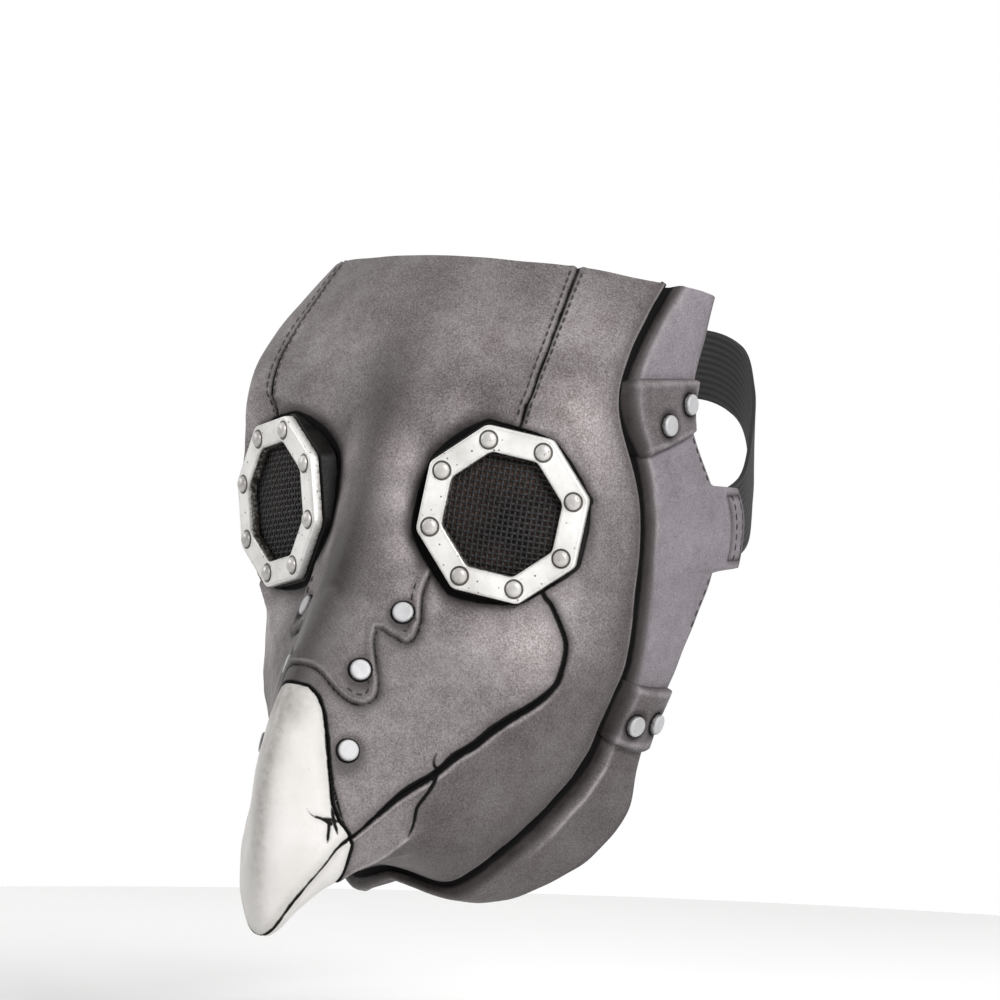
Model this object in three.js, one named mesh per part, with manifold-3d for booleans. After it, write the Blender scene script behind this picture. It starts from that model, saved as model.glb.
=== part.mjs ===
// A grey latex bird mask: a hollow face with a hooked beak, a rear band that runs round the cheeks and chin,
// two octagonal metal eye frames with dark mesh, leather-look tabs with rivets, and an elastic head strap.
import * as THREE from 'three';
import { mergeVertices } from 'three/addons/utils/BufferGeometryUtils.js';
import Module from 'manifold-3d';

const wasm = await Module();
wasm.setup();

// Driving sizes in millimetres. X is the wearer's left, the beak points along -Y and Z is up.
// The origin lies on the mid-plane at eye level, between the centres of the two eye frames.
const WALL = 2.0;
const GAP = 0.3;
const MERGE_DISTANCE = 1e-3;
const PROBE_STEP = 1e-3;
const SOLVER_TURNS = 30;

// Eye frames: flat octagons that look outward by the splay, leaning by the turn at their top corner.
const EYE_ACROSS = 49.8;
const EYE_SPLAY = THREE.MathUtils.degToRad(22.5);
const EYE_TURN = THREE.MathUtils.degToRad(-11.25);
const FRAME_OUTER = 30.5;
const FRAME_INNER = 21.3;
const FRAME_THICK = 3.2;
const FRAME_BEVEL = 0.5;
const STUD = { circle: 25.3, radius: 2.7, height: 1.7, sunk: 0.6, sides: 10 };
const STUD_SHOULDER = { height: 0.35, dome: [0.6, 0.88] };

// The black bezel that carries a frame, the mesh plate behind the frame, and the flat seat round them.
const BEZEL_OUTER = 31.6;
const BEZEL_INNER = 22.5;
const BEZEL_DEPTH = 6.0;
const MESH_RADIUS = 22.1;
const MESH_THICK = 0.8;
const SEAT = { radius: 32, below: 4.2, slope: 0.5, reach: 46, steep: 2 };
const EYE_BORE_DEPTH = 40;
const SEAT_TOP = -FRAME_THICK - GAP;

// Cross-section of the groove behind the face panel: distance back from the panel edge, and height.
const GROOVE_PROFILE = [
  { back: 1.2, height: -3.0 },
  { back: 3.0, height: -3.0 },
  { back: 4.8, height: -0.8 },
];
const BAND_LEVEL = -0.8;
const BAND_BULGE = 2.0;
const BAND_WIDTH_FOR_FULL_GROOVE = 12;
const BAND_FLAT_STEPS = 3;
const BAND_TRIES = Array.from({ length: 101 }, (_, k) => k / 100);

// Step under the upper beak along the mouth line: share of the next section, and how far it lies in.
const MOUTH_SECTION = 'mouth';
const MOUTH_FADE = 0.25;
const MOUTH_STEPS = [
  { share: 0.1, inset: 2.2 },
  { share: 0.3, inset: 1.8 },
  { share: 0.62, inset: 0.9 },
];

// Tab of the band that reaches back past the ear and takes the strap, between two heights on the rim.
const EAR_TAB = { reach: 14, top: 8.5, bottom: -19, shoulder: 1.8 };

const RIVET = { radius: 3.6, height: 1.8, round: 0.7, sides: 14, standoff: 0.45 };
const TAB_THICK = 2.6;
const TAB_EDGE = 0.9;
const TAB_STEPS = 5;
const STRAP = { width: 25, thick: 1.5, steps: 36 };

// Face panel sections from hair line to chin. Each station is [across, back, up], from the mid-line ridge out
// to the groove behind the cheek; rim is the free edge of the rear band. Steps is the facets to the next row.
const FACE_SECTIONS = [
  { at: 'hairline', steps: 3, ridge: [0, 26, 86], nose: [28, 28, 85], cheek: [53, 37, 83],
    temple: [67, 48, 80], groove: [74, 57, 78], rim: [78, 80, 74] },
  { at: 'forehead', steps: 3, ridge: [0, 9, 64], nose: [29, 12, 64], cheek: [57, 20, 63],
    temple: [71, 27, 61], groove: [78, 36, 59], rim: [80.5, 70, 56] },
  { at: 'brow', steps: 3, ridge: [0, -2, 42], nose: [28, 1, 42], cheek: [57, 6, 42],
    temple: [73, 12.5, 40], groove: [80.5, 24, 37], rim: [81, 64, 38] },
  { at: 'upper_lid', steps: 5, ridge: [0, -9, 20], nose: [22, 0, 20], cheek: [50, 1, 20],
    temple: [74, 12, 19], groove: [82, 30, 18], rim: [80.5, 70, 21] },
  { at: 'eye', steps: 6, ridge: [0, -16, 0], nose: [18, -6, -1], cheek: [47, 2, 0],
    temple: [76, 15.5, 1], groove: [82, 35, 2], rim: [80, 82, 3] },
  { at: 'lower_lid', steps: 3, ridge: [0, -26, -22], nose: [18, -13, -24], cheek: [46, -2, -24],
    temple: [72, 17.5, -19], groove: [81, 36.5, -14], rim: [78.5, 83.5, -17] },
  { at: 'nostril', steps: 3, ridge: [0, -44, -50], nose: [15, -31, -53], cheek: [43, -7, -46],
    temple: [67.5, 18.6, -35], groove: [79, 37, -29], rim: [76.5, 76, -36] },
  { at: 'beak', steps: 3, ridge: [0, -58, -80], nose: [17, -41, -79], cheek: [40, -11, -66],
    temple: [65, 15.3, -48], groove: [76.7, 38, -43], rim: [73.5, 71, -50] },
  { at: 'hook', steps: 3, ridge: [0, -63, -112], nose: [16.7, -47.8, -100], cheek: [38, -12.5, -79],
    temple: [63, 12.5, -57], groove: [74, 38.5, -52.5], rim: [71, 66.5, -62] },
  { at: 'mouth', steps: 1, ridge: [0, -60.5, -141], nose: [16.6, -50.6, -118], cheek: [36, -12.5, -89],
    temple: [60, 11, -65], groove: [71, 37.7, -60], rim: [68.5, 61, -74] },
  { at: 'mandible', steps: 2, ridge: [0, -47, -134], nose: [12, -41.5, -125.5], cheek: [34, -8, -101.5],
    temple: [56, 15, -81], groove: [66.7, 36.3, -70], rim: [66, 58, -88] },
  { at: 'jaw', steps: 3, ridge: [0, -20, -120.5], nose: [15, -19, -117], cheek: [33.5, 3, -112],
    temple: [52, 21, -93], groove: [62.5, 35.5, -80], rim: [63, 57.5, -102] },
  { at: 'chin', steps: 0, ridge: [0, 7, -122], nose: [16, 9, -126], cheek: [32, 14.5, -120.7],
    temple: [47, 27.5, -103], groove: [56.7, 33.7, -89.8], rim: [55.5, 55.5, -113] },
];
const STATIONS = [
  { name: 'ridge', steps: 3 },
  { name: 'nose', steps: 4 },
  { name: 'cheek', steps: 4 },
  { name: 'temple', steps: 3 },
  { name: 'groove', steps: 0 },
];

// Rim of the band under the chin, from below the temple station round to the mid-line.
const CHIN_RIM = [
  { below: 'temple', at: [46, 47, -124] },
  { below: 'cheek', at: [32, 31.5, -133.5] },
  { below: 'nose', at: [15, 15.5, -132.5] },
  { below: 'ridge', at: [0, 10, -128] },
];

// Edge of the pale beak tip in side view, from the ridge back round its top and down past the mouth line.
const TIP_EDGE = [
  { back: -56, up: -56.6 },
  { back: -48.5, up: -57.1 },
  { back: -45.6, up: -58.2 },
  { back: -44, up: -61.6 },
  { back: -43.7, up: -66.3 },
  { back: -44.6, up: -74 },
  { back: -45.5, up: -84 },
  { back: -45.9, up: -97 },
  { back: -44.9, up: -103 },
  { back: -41.6, up: -108 },
  { back: -39.2, up: -110.8 },
  { back: -38.6, up: -116 },
  { back: -37.6, up: -122 },
  { back: -37.2, up: -150 },
];
const TIP_CUT_FRONT = -100;
const TIP_CUT_HALF_WIDTH = 60;
const NOSE_FLANK = [0.3, 0.6];

// Rivets on the beak are placed in front view, and rivets and tab corners on the band in side view.
const BEAK_RIVETS = [
  { name: 'beak_rivet_upper', across: 21, up: -34 },
  { name: 'beak_rivet_middle', across: 15.4, up: -53 },
  { name: 'beak_rivet_lower', across: 18.2, up: -79.2 },
];
const TABS = [
  { name: 'temple_tab',
    corners: { frontTop: [31, 46], frontLow: [37, 19], rearLow: [65, 28], rearTop: [67, 46] },
    rivets: [
      { name: 'temple_rivet_front', back: 45, up: 30.5 },
      { name: 'temple_rivet_rear', back: 58, up: 37.5 },
    ] },
  { name: 'jaw_tab',
    corners: { frontTop: [43.5, -57.6], frontLow: [40, -78], rearLow: [61, -81], rearTop: [67.5, -59] },
    rivets: [
      { name: 'jaw_rivet_front', back: 46.8, up: -71.5 },
      { name: 'jaw_rivet_rear', back: 59.3, up: -71.5 },
    ] },
];

// Middle of the elastic strap from inside the ear tab round to the middle of the back of the head.
const STRAP_PATH = [
  { across: 75.4, back: 82, up: -5 },
  { across: 75.0, back: 92, up: -4.5 },
  { across: 72.5, back: 105, up: 0 },
  { across: 64, back: 121, up: 14 },
  { across: 50, back: 140, up: 30 },
  { across: 27, back: 162, up: 44 },
  { across: 0, back: 172, up: 49 },
];

const SIDES = [
  { name: 'left', sign: 1 },
  { name: 'right', sign: -1 },
];

const latexMaterial = new THREE.MeshStandardMaterial({ color: 0x6b6764, roughness: 0.6, metalness: 0 });
const tabMaterial = new THREE.MeshStandardMaterial({ color: 0x77726f, roughness: 0.6, metalness: 0 });
const ivoryMaterial = new THREE.MeshStandardMaterial({ color: 0xd8d4c6, roughness: 0.5, metalness: 0 });
const silverMaterial = new THREE.MeshStandardMaterial({ color: 0xc9c9c9, roughness: 0.45, metalness: 0.4 });
const meshMaterial = new THREE.MeshStandardMaterial({ color: 0x1d1a19, roughness: 0.7, metalness: 0 });
const strapMaterial = new THREE.MeshStandardMaterial({ color: 0x111111, roughness: 0.85, metalness: 0 });

// Natural cubic spline through points at rising knots, as a function of the knot value.
function splineThrough(knots, points) {
  const last = knots.length - 1;
  const span = (i) => knots[i + 1] - knots[i];
  const slope = (i) => points[i + 1].clone().sub(points[i]).divideScalar(span(i));
  const carry = [0];
  const bend = points.map(() => new THREE.Vector3());
  for (let i = 1; i < last; i += 1) {
    const pivot = 2 * (span(i - 1) + span(i)) - span(i - 1) * carry[i - 1];
    carry[i] = span(i) / pivot;
    bend[i] = slope(i).sub(slope(i - 1)).multiplyScalar(6);
    bend[i].addScaledVector(bend[i - 1], -span(i - 1)).divideScalar(pivot);
  }
  for (let i = last - 1; i > 0; i -= 1) {
    bend[i].addScaledVector(bend[i + 1], -carry[i]);
  }
  return (knot) => {
    const found = knots.findLastIndex((value) => value <= knot);
    const i = THREE.MathUtils.clamp(found, 0, last - 1);
    const b = (knot - knots[i]) / span(i);
    const a = 1 - b;
    const sixth = span(i) ** 2 / 6;
    return new THREE.Vector3()
      .addScaledVector(points[i], a)
      .addScaledVector(points[i + 1], b)
      .addScaledVector(bend[i], (a ** 3 - a) * sixth)
      .addScaledVector(bend[i + 1], (b ** 3 - b) * sixth);
  };
}

// Knots from 0 to 1 spaced by the mean distance between neighbouring rows of points.
function meanKnots(rows) {
  const knots = [0];
  for (let i = 1; i < rows.length; i += 1) {
    const lengths = rows[i].map((point, j) => point.distanceTo(rows[i - 1][j]));
    knots.push(knots[i - 1] + lengths.reduce((sum, length) => sum + length, 0));
  }
  return knots.map((knot) => knot / knots.at(-1));
}

const vector = ([x, y, z]) => new THREE.Vector3(x, y, z);
const mirrored = (point) => new THREE.Vector3(-point.x, point.y, point.z);

const sectionPoints = FACE_SECTIONS.map((section) => STATIONS.map(({ name }) => vector(section[name])));
const stationPoints = STATIONS.map((_, j) => sectionPoints.map((row) => row[j]));
const downKnots = meanKnots(sectionPoints);
const acrossKnots = meanKnots(stationPoints);
const stationLines = stationPoints.map((points) => splineThrough(downKnots, points));
const fullAcrossKnots = [...acrossKnots.slice(1).reverse().map((knot) => -knot), ...acrossKnots];

// Point of the smooth face panel. across runs from -1 to 1 between the grooves, down from 0 to 1.
function facePoint(across, down) {
  const half = stationLines.map((line) => line(down));
  const row = [...half.slice(1).reverse().map(mirrored), ...half];
  return splineThrough(fullAcrossKnots, row)(across);
}

// Way round the edge of the face panel: 0 to 1 down the groove, then 1 to 2 under the chin to the mid-line.
const rimKnots = [...downKnots, ...acrossKnots.slice(0, -1).reverse().map((knot) => 2 - knot)];
const rimPoints = [...FACE_SECTIONS.map((section) => section.rim), ...CHIN_RIM.map((row) => row.at)];
const rimLine = splineThrough(rimKnots, rimPoints.map(vector));

function panelEdge(round) {
  return round <= 1 ? facePoint(1, round) : facePoint(2 - round, 1);
}

function bandRim(round) {
  const point = rimLine(round);
  if (round <= 1) {
    const { reach, top, bottom, shoulder } = EAR_TAB;
    const aboveBottom = THREE.MathUtils.smoothstep(point.z, bottom - shoulder, bottom);
    const belowTop = 1 - THREE.MathUtils.smoothstep(point.z, top, top + shoulder);
    point.y += reach * aboveBottom * belowTop;
  }
  return point;
}

// Straight band between the panel edge and the rim, and its outward normal.
function bandChord(round, width) {
  return panelEdge(round).lerp(bandRim(round), width);
}

function bandNormal(round, width) {
  const ahead = bandChord(Math.min(round + PROBE_STEP, 2), width);
  const along = ahead.sub(bandChord(Math.max(round - PROBE_STEP, 0), width));
  const back = bandRim(round).sub(panelEdge(round));
  return along.cross(back).normalize();
}

// Point of the band, lifted off its slightly crowned surface.
function bandPoint(round, width, lift) {
  const crown = BAND_BULGE * 4 * width * (1 - width);
  return bandChord(round, width).addScaledVector(bandNormal(round, width), crown + lift);
}

// Outward direction of an eye frame, and the place of its centre.
function eyePlane(sign) {
  return {
    centre: new THREE.Vector3(sign * EYE_ACROSS, 0, 0),
    outward: new THREE.Vector3(sign * Math.sin(EYE_SPLAY), -Math.cos(EYE_SPLAY), 0),
  };
}

// Presses a face point back to the flat seat behind an eye frame, with a slope round it as far as its reach.
function pressToSeats(point) {
  for (const { sign } of SIDES) {
    const { centre, outward } = eyePlane(sign);
    const offset = point.clone().sub(centre);
    const height = offset.dot(outward);
    const radius = offset.addScaledVector(outward, -height).length();
    const gentle = SEAT.slope * Math.max(0, radius - SEAT.radius);
    const steep = SEAT.steep * Math.max(0, radius - SEAT.reach);
    point.addScaledVector(outward, -Math.max(0, height + SEAT.below - gentle - steep));
  }
  return point;
}

// Facet rows down the face: even steps in each section, and the mouth line's own steps below it.
function downValues() {
  const values = [];
  FACE_SECTIONS.forEach((section, i) => {
    const start = downKnots[i];
    const span = (downKnots[i + 1] ?? start) - start;
    for (let k = 0; k < section.steps; k += 1) {
      values.push({ down: start + (span * k) / section.steps, inset: 0 });
    }
    if (section.at === MOUTH_SECTION) {
      MOUTH_STEPS.forEach(({ share, inset }) => values.push({ down: start + span * share, inset }));
    }
  });
  values.push({ down: 1, inset: 0 });
  return values;
}

function acrossValues() {
  const half = [];
  STATIONS.forEach(({ steps }, j) => {
    const start = acrossKnots[j];
    const span = (acrossKnots[j + 1] ?? start) - start;
    for (let k = 0; k < steps; k += 1) {
      half.push(start + (span * k) / steps);
    }
  });
  half.push(1);
  return [...half.slice(1).reverse().map((value) => -value), ...half];
}

function geometryFrom(points, triangles) {
  const geometry = new THREE.BufferGeometry().setFromPoints(points);
  geometry.setIndex(triangles.flat());
  return geometry;
}

// Two triangles for each cell of a grid of vertex numbers, turning down first and then across.
function gridTriangles(rows) {
  const triangles = [];
  for (let i = 0; i + 1 < rows.length; i += 1) {
    for (let j = 0; j + 1 < rows[i].length; j += 1) {
      const corners = [rows[i][j], rows[i + 1][j], rows[i + 1][j + 1], rows[i][j + 1]];
      triangles.push([corners[0], corners[1], corners[2]], [corners[0], corners[2], corners[3]]);
    }
  }
  return triangles;
}

function vertexNormals(points, triangles) {
  const geometry = geometryFrom(points, triangles);
  geometry.computeVertexNormals();
  const normals = geometry.getAttribute('normal');
  return points.map((_, i) => new THREE.Vector3().fromBufferAttribute(normals, i));
}

// Closed solid between an outer sheet and an inner sheet of the same triangles, walled along the open edges.
function solidBetween(outer, inner, triangles) {
  const count = outer.length;
  const used = new Set();
  triangles.forEach(([a, b, c]) => [[a, b], [b, c], [c, a]].forEach((edge) => used.add(edge.join())));
  const faces = [...triangles];
  triangles.forEach(([a, b, c]) => {
    faces.push([a + count, c + count, b + count]);
    [[a, b], [b, c], [c, a]].forEach(([from, to]) => {
      if (!used.has([to, from].join())) {
        faces.push([to, from, from + count], [to, from + count, to + count]);
      }
    });
  });
  return geometryFrom([...outer, ...inner], faces);
}

function toManifold(geometry) {
  const bare = geometry.clone();
  bare.deleteAttribute('normal');
  bare.deleteAttribute('uv');
  const merged = mergeVertices(bare, MERGE_DISTANCE);
  const corners = merged.getIndex().array;
  const kept = [];
  for (let i = 0; i < corners.length; i += 3) {
    const triangle = corners.slice(i, i + 3);
    if (new Set(triangle).size === 3) {
      kept.push(...triangle);
    }
  }
  const vertProperties = new Float32Array(merged.getAttribute('position').array);
  return new wasm.Manifold(new wasm.Mesh({ numProp: 3, vertProperties, triVerts: new Uint32Array(kept) }));
}

function fromManifold(solid) {
  const { vertProperties, triVerts } = solid.getMesh();
  const geometry = new THREE.BufferGeometry();
  geometry.setAttribute('position', new THREE.BufferAttribute(vertProperties, 3));
  geometry.setIndex(new THREE.BufferAttribute(triVerts, 1));
  return geometry;
}

// Octagon with its corners at a radius, in the plane of an eye frame, turning anticlockwise.
function octagon(radius, sign) {
  const corners = Array.from({ length: 8 }, (_, k) => {
    const angle = EYE_TURN - (sign * k * Math.PI) / 4;
    return new THREE.Vector2(sign * Math.sin(angle), Math.cos(angle)).multiplyScalar(radius);
  });
  return new THREE.Shape(corners);
}

// Octagonal prism or tube between two heights over the plane of an eye frame.
function octagonSolid(sign, outer, inner, low, high, bevel = 0) {
  const shape = octagon(outer, sign);
  if (inner > 0) {
    shape.holes.push(octagon(inner, sign));
  }
  const geometry = new THREE.ExtrudeGeometry(shape, {
    depth: high - low - 2 * bevel,
    bevelEnabled: bevel > 0,
    bevelThickness: bevel,
    bevelSize: bevel,
    bevelOffset: -bevel,
    bevelSegments: 1,
  });
  return geometry.translate(0, 0, low + bevel);
}

function eyeMatrix(sign) {
  const { centre, outward } = eyePlane(sign);
  const up = new THREE.Vector3(0, 0, 1);
  const sideways = new THREE.Vector3().crossVectors(up, outward);
  return new THREE.Matrix4().makeBasis(sideways, up, outward).setPosition(centre);
}

// Places along the edge of the face panel: down the left side, under the chin and up the right side.
function edgePlaces(downs, acrosses) {
  const lastDown = downs.length - 1;
  const lastAcross = acrosses.length - 1;
  const places = downs.map(({ down }, i) => ({ i, j: lastAcross, round: down, sign: 1 }));
  for (let j = lastAcross - 1; j > 0; j -= 1) {
    places.push({ i: lastDown, j, round: 2 - Math.abs(acrosses[j]), sign: Math.sign(acrosses[j]) || 1 });
  }
  downs.toReversed().forEach(({ down }, k) => places.push({ i: lastDown - k, j: 0, round: down, sign: -1 }));
  return places;
}

// Widths and heights of the facet rows across the band at one place of its way round.
function bandRows(round) {
  const length = panelEdge(round).distanceTo(bandRim(round));
  const scale = Math.min(1, length / BAND_WIDTH_FOR_FULL_GROOVE);
  const rows = GROOVE_PROFILE.map(({ back, height }) => (
    { width: (back * scale) / length, lift: height * scale }
  ));
  const start = rows.at(-1).width;
  for (let k = 1; k <= BAND_FLAT_STEPS; k += 1) {
    rows.push({ width: start + ((1 - start) * k) / BAND_FLAT_STEPS, lift: BAND_LEVEL * scale });
  }
  return rows;
}

// Outer sheet of the latex: the face panel, then the groove and the band along its side and chin edges.
function latexSheet() {
  const downs = downValues();
  const acrosses = acrossValues();
  const temple = acrossKnots[STATIONS.findIndex(({ name }) => name === 'temple')];
  const points = [];
  const insets = [];
  const addPoint = (point, inset) => {
    points.push(point);
    insets.push(inset);
    return points.length - 1;
  };
  const faceRows = downs.map(({ down, inset }) => acrosses.map((across) => {
    const fade = 1 - THREE.MathUtils.smoothstep(Math.abs(across), temple - MOUTH_FADE, temple);
    return addPoint(pressToSeats(facePoint(across, down)), inset * fade);
  }));
  const edgeRows = edgePlaces(downs, acrosses).map(({ i, j, round, sign }) => {
    const band = bandRows(round).map(({ width, lift }) => {
      const point = bandPoint(round, width, lift);
      return addPoint(sign > 0 ? point : mirrored(point), 0);
    });
    return [faceRows[i][j], ...band];
  });
  const triangles = [...gridTriangles(faceRows), ...gridTriangles(edgeRows)];
  const normals = vertexNormals(points, triangles);
  points.forEach((point, i) => point.addScaledVector(normals[i], -insets[i]));
  return { points, triangles };
}

// The latex casting in one piece: sheet, wall, bezels and eye openings, before the beak tip is parted off.
function latexCasting() {
  const { points, triangles } = latexSheet();
  const normals = vertexNormals(points, triangles);
  const inner = points.map((point, i) => point.clone().addScaledVector(normals[i], -WALL));
  let casting = toManifold(solidBetween(points, inner, triangles));
  for (const { sign } of SIDES) {
    const bezel = octagonSolid(sign, BEZEL_OUTER, 0, SEAT_TOP - BEZEL_DEPTH, SEAT_TOP);
    const bore = octagonSolid(sign, BEZEL_INNER, 0, SEAT_TOP - EYE_BORE_DEPTH, SEAT_TOP + EYE_BORE_DEPTH);
    casting = casting.add(toManifold(bezel.applyMatrix4(eyeMatrix(sign))));
    casting = casting.subtract(toManifold(bore.applyMatrix4(eyeMatrix(sign))));
  }
  return casting;
}

// Everything in front of the rear edge of the beak tip, moved back and up by a distance.
function tipRegion(moved) {
  const edge = TIP_EDGE.map(({ back, up }) => new THREE.Vector2(back + moved, up + moved));
  const front = [edge.at(-1), edge[0]].map(({ y }) => new THREE.Vector2(TIP_CUT_FRONT, y));
  const depth = 2 * TIP_CUT_HALF_WIDTH;
  const outline = new THREE.Shape([...edge, ...front]);
  const prism = new THREE.ExtrudeGeometry(outline, { depth, bevelEnabled: false });
  const sideView = new THREE.Matrix4().makeBasis(
    new THREE.Vector3(0, 1, 0),
    new THREE.Vector3(0, 0, 1),
    new THREE.Vector3(1, 0, 0),
  );
  return toManifold(prism.translate(0, 0, -TIP_CUT_HALF_WIDTH).applyMatrix4(sideView));
}

// Turned solid about local Z from half of its profile.
function turned(profile, sides) {
  const points = profile.map(([radius, height]) => new THREE.Vector2(radius, height));
  return new THREE.LatheGeometry(points, sides).rotateX(Math.PI / 2);
}

function frameGeometry(sign) {
  let frame = toManifold(octagonSolid(sign, FRAME_OUTER, FRAME_INNER, -FRAME_THICK, 0, FRAME_BEVEL));
  const { circle, radius, height, sunk, sides } = STUD;
  const dome = [
    [0, -sunk],
    [radius, -sunk],
    [radius, height * STUD_SHOULDER.height],
    [radius * STUD_SHOULDER.dome[0], height * STUD_SHOULDER.dome[1]],
    [0, height],
  ];
  for (const { x, y } of octagon(circle, sign).getPoints().slice(0, 8)) {
    frame = frame.add(toManifold(turned(dome, sides).translate(x, y, 0)));
  }
  return fromManifold(frame);
}

function rivetGeometry() {
  const { radius, height, round, sides } = RIVET;
  const disc = [[0, 0], [radius, 0], [radius, height - round], [radius - round, height], [0, height]];
  return turned(disc, sides);
}

// Change of a surface point with each of its two parameters.
function surfaceSlopes(surface, [first, second]) {
  const here = surface(first, second);
  const byFirst = surface(first + PROBE_STEP, second).sub(here).divideScalar(PROBE_STEP);
  const bySecond = surface(first, second + PROBE_STEP).sub(here).divideScalar(PROBE_STEP);
  return [byFirst, bySecond];
}

// Finds the two parameters of a surface at which two chosen coordinates have wanted values.
function solveOnSurface(surface, start, wanted, axes) {
  const place = [...start];
  const [p, q] = axes;
  for (let turn = 0; turn < SOLVER_TURNS; turn += 1) {
    const here = surface(...place);
    const [byFirst, bySecond] = surfaceSlopes(surface, place);
    const miss = axes.map((axis, k) => wanted[k] - here[axis]);
    const scale = byFirst[p] * bySecond[q] - byFirst[q] * bySecond[p];
    place[0] += (miss[0] * bySecond[q] - miss[1] * bySecond[p]) / scale;
    place[1] += (miss[1] * byFirst[p] - miss[0] * byFirst[q]) / scale;
  }
  return place;
}

function surfaceNormal(surface, place) {
  const [byFirst, bySecond] = surfaceSlopes(surface, place);
  return byFirst.cross(bySecond).normalize();
}

// Place on a surface over the band at a distance back and a height, starting halfway across the band.
function placeOnBand(surface, back, up) {
  const misses = BAND_TRIES.map((round) => Math.abs(bandChord(round, 0.5).z - up));
  const start = [BAND_TRIES[misses.indexOf(Math.min(...misses))], 0.5];
  return solveOnSurface(surface, start, [back, up], ['y', 'z']);
}

// Rounded slab over the band, between four corners given in side view.
function tabGeometry(corners, sign) {
  const level = (round, width) => bandPoint(round, width, BAND_LEVEL);
  const places = {};
  for (const [name, [back, up]] of Object.entries(corners)) {
    places[name] = placeOnBand(level, back, up);
  }
  const outer = [];
  const inner = [];
  const rows = [];
  for (let i = 0; i <= TAB_STEPS; i += 1) {
    rows.push([]);
    for (let j = 0; j <= TAB_STEPS; j += 1) {
      const [low, rear] = [i / TAB_STEPS, j / TAB_STEPS];
      const [round, width] = [0, 1].map((k) => THREE.MathUtils.lerp(
        THREE.MathUtils.lerp(places.frontTop[k], places.rearTop[k], rear),
        THREE.MathUtils.lerp(places.frontLow[k], places.rearLow[k], rear),
        low,
      ));
      const atEdge = i % TAB_STEPS === 0 || j % TAB_STEPS === 0;
      const top = BAND_LEVEL + GAP + TAB_THICK - (atEdge ? TAB_EDGE : 0);
      const shaped = (point) => (sign > 0 ? point : mirrored(point));
      rows[i].push(outer.length);
      outer.push(shaped(bandPoint(round, width, top)));
      inner.push(shaped(bandPoint(round, width, BAND_LEVEL + GAP)));
    }
  }
  const triangles = gridTriangles(sign > 0 ? rows : rows.map((row) => row.toReversed()));
  return solidBetween(outer, inner, triangles);
}

// Flat strap of even width along a curve, standing upright across its path.
function strapGeometry() {
  const half = STRAP_PATH.map(({ across, back, up }) => new THREE.Vector3(across, back, up));
  const curve = new THREE.CatmullRomCurve3([...half, ...half.slice(0, -1).reverse().map(mirrored)]);
  const outer = [];
  const inner = [];
  const rows = [];
  const up = new THREE.Vector3(0, 0, 1);
  for (let i = 0; i <= STRAP.steps; i += 1) {
    const point = curve.getPointAt(i / STRAP.steps);
    const along = curve.getTangentAt(i / STRAP.steps);
    const outward = along.clone().cross(up).normalize();
    const tall = outward.clone().cross(along);
    const row = [];
    for (const side of [1, -1]) {
      const edge = point.clone().addScaledVector(tall, (side * STRAP.width) / 2);
      row.push(outer.length);
      outer.push(edge.clone().addScaledVector(outward, STRAP.thick / 2));
      inner.push(edge.clone().addScaledVector(outward, -STRAP.thick / 2));
    }
    rows.push(row);
  }
  return solidBetween(outer, inner, gridTriangles(rows.map((row) => row.toReversed())));
}

const mask = new THREE.Group();

function addPiece(parent, name, geometry, material) {
  const piece = new THREE.Mesh(geometry, material);
  piece.name = name;
  parent.add(piece);
  return piece;
}

// Rivet standing on a surface point, with its axis along the surface's outward direction.
function addRivet(name, point, outward) {
  const rivet = addPiece(mask, name, rivetGeometry(), silverMaterial);
  rivet.position.copy(point).addScaledVector(outward, RIVET.standoff);
  rivet.quaternion.setFromUnitVectors(new THREE.Vector3(0, 0, 1), outward);
}

const casting = latexCasting();
addPiece(mask, 'latex_shell', fromManifold(casting.subtract(tipRegion(GAP))), latexMaterial);
addPiece(mask, 'beak_tip', fromManifold(casting.intersect(tipRegion(0))), ivoryMaterial);

for (const { name: side, sign } of SIDES) {
  const eye = new THREE.Group();
  eye.applyMatrix4(eyeMatrix(sign));
  mask.add(eye);
  addPiece(eye, `eye_frame_${side}`, frameGeometry(sign), silverMaterial);
  const netPlate = octagonSolid(sign, MESH_RADIUS, 0, SEAT_TOP - MESH_THICK, SEAT_TOP);
  addPiece(eye, `eye_mesh_${side}`, netPlate, meshMaterial);

  const onSide = (value) => (sign > 0 ? value : mirrored(value));
  for (const { name, across, up } of BEAK_RIVETS) {
    const place = solveOnSurface(facePoint, NOSE_FLANK, [across, up], ['x', 'z']);
    const outward = surfaceNormal(facePoint, place).negate();
    addRivet(`${name}_${side}`, onSide(facePoint(...place)), onSide(outward));
  }
  for (const { name: tabName, corners, rivets } of TABS) {
    addPiece(mask, `${tabName}_${side}`, tabGeometry(corners, sign), tabMaterial);
    const tabTop = (round, width) => bandPoint(round, width, BAND_LEVEL + GAP + TAB_THICK);
    for (const { name, back, up } of rivets) {
      const place = placeOnBand(tabTop, back, up);
      const outward = surfaceNormal(tabTop, place);
      addRivet(`${name}_${side}`, onSide(tabTop(...place)), onSide(outward));
    }
  }
}
addPiece(mask, 'elastic_strap', strapGeometry(), strapMaterial);

export default mask;
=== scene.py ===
# Looks of a grey latex bird mask: a painted latex shell with sculpted seams, an ivory beak tip, silver
# eye frames with woven nets, raised tabs, rivets, cast stitches and an elastic strap.
import math

import bpy
import numpy as np
from mathutils import Matrix, Vector, kdtree


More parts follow.
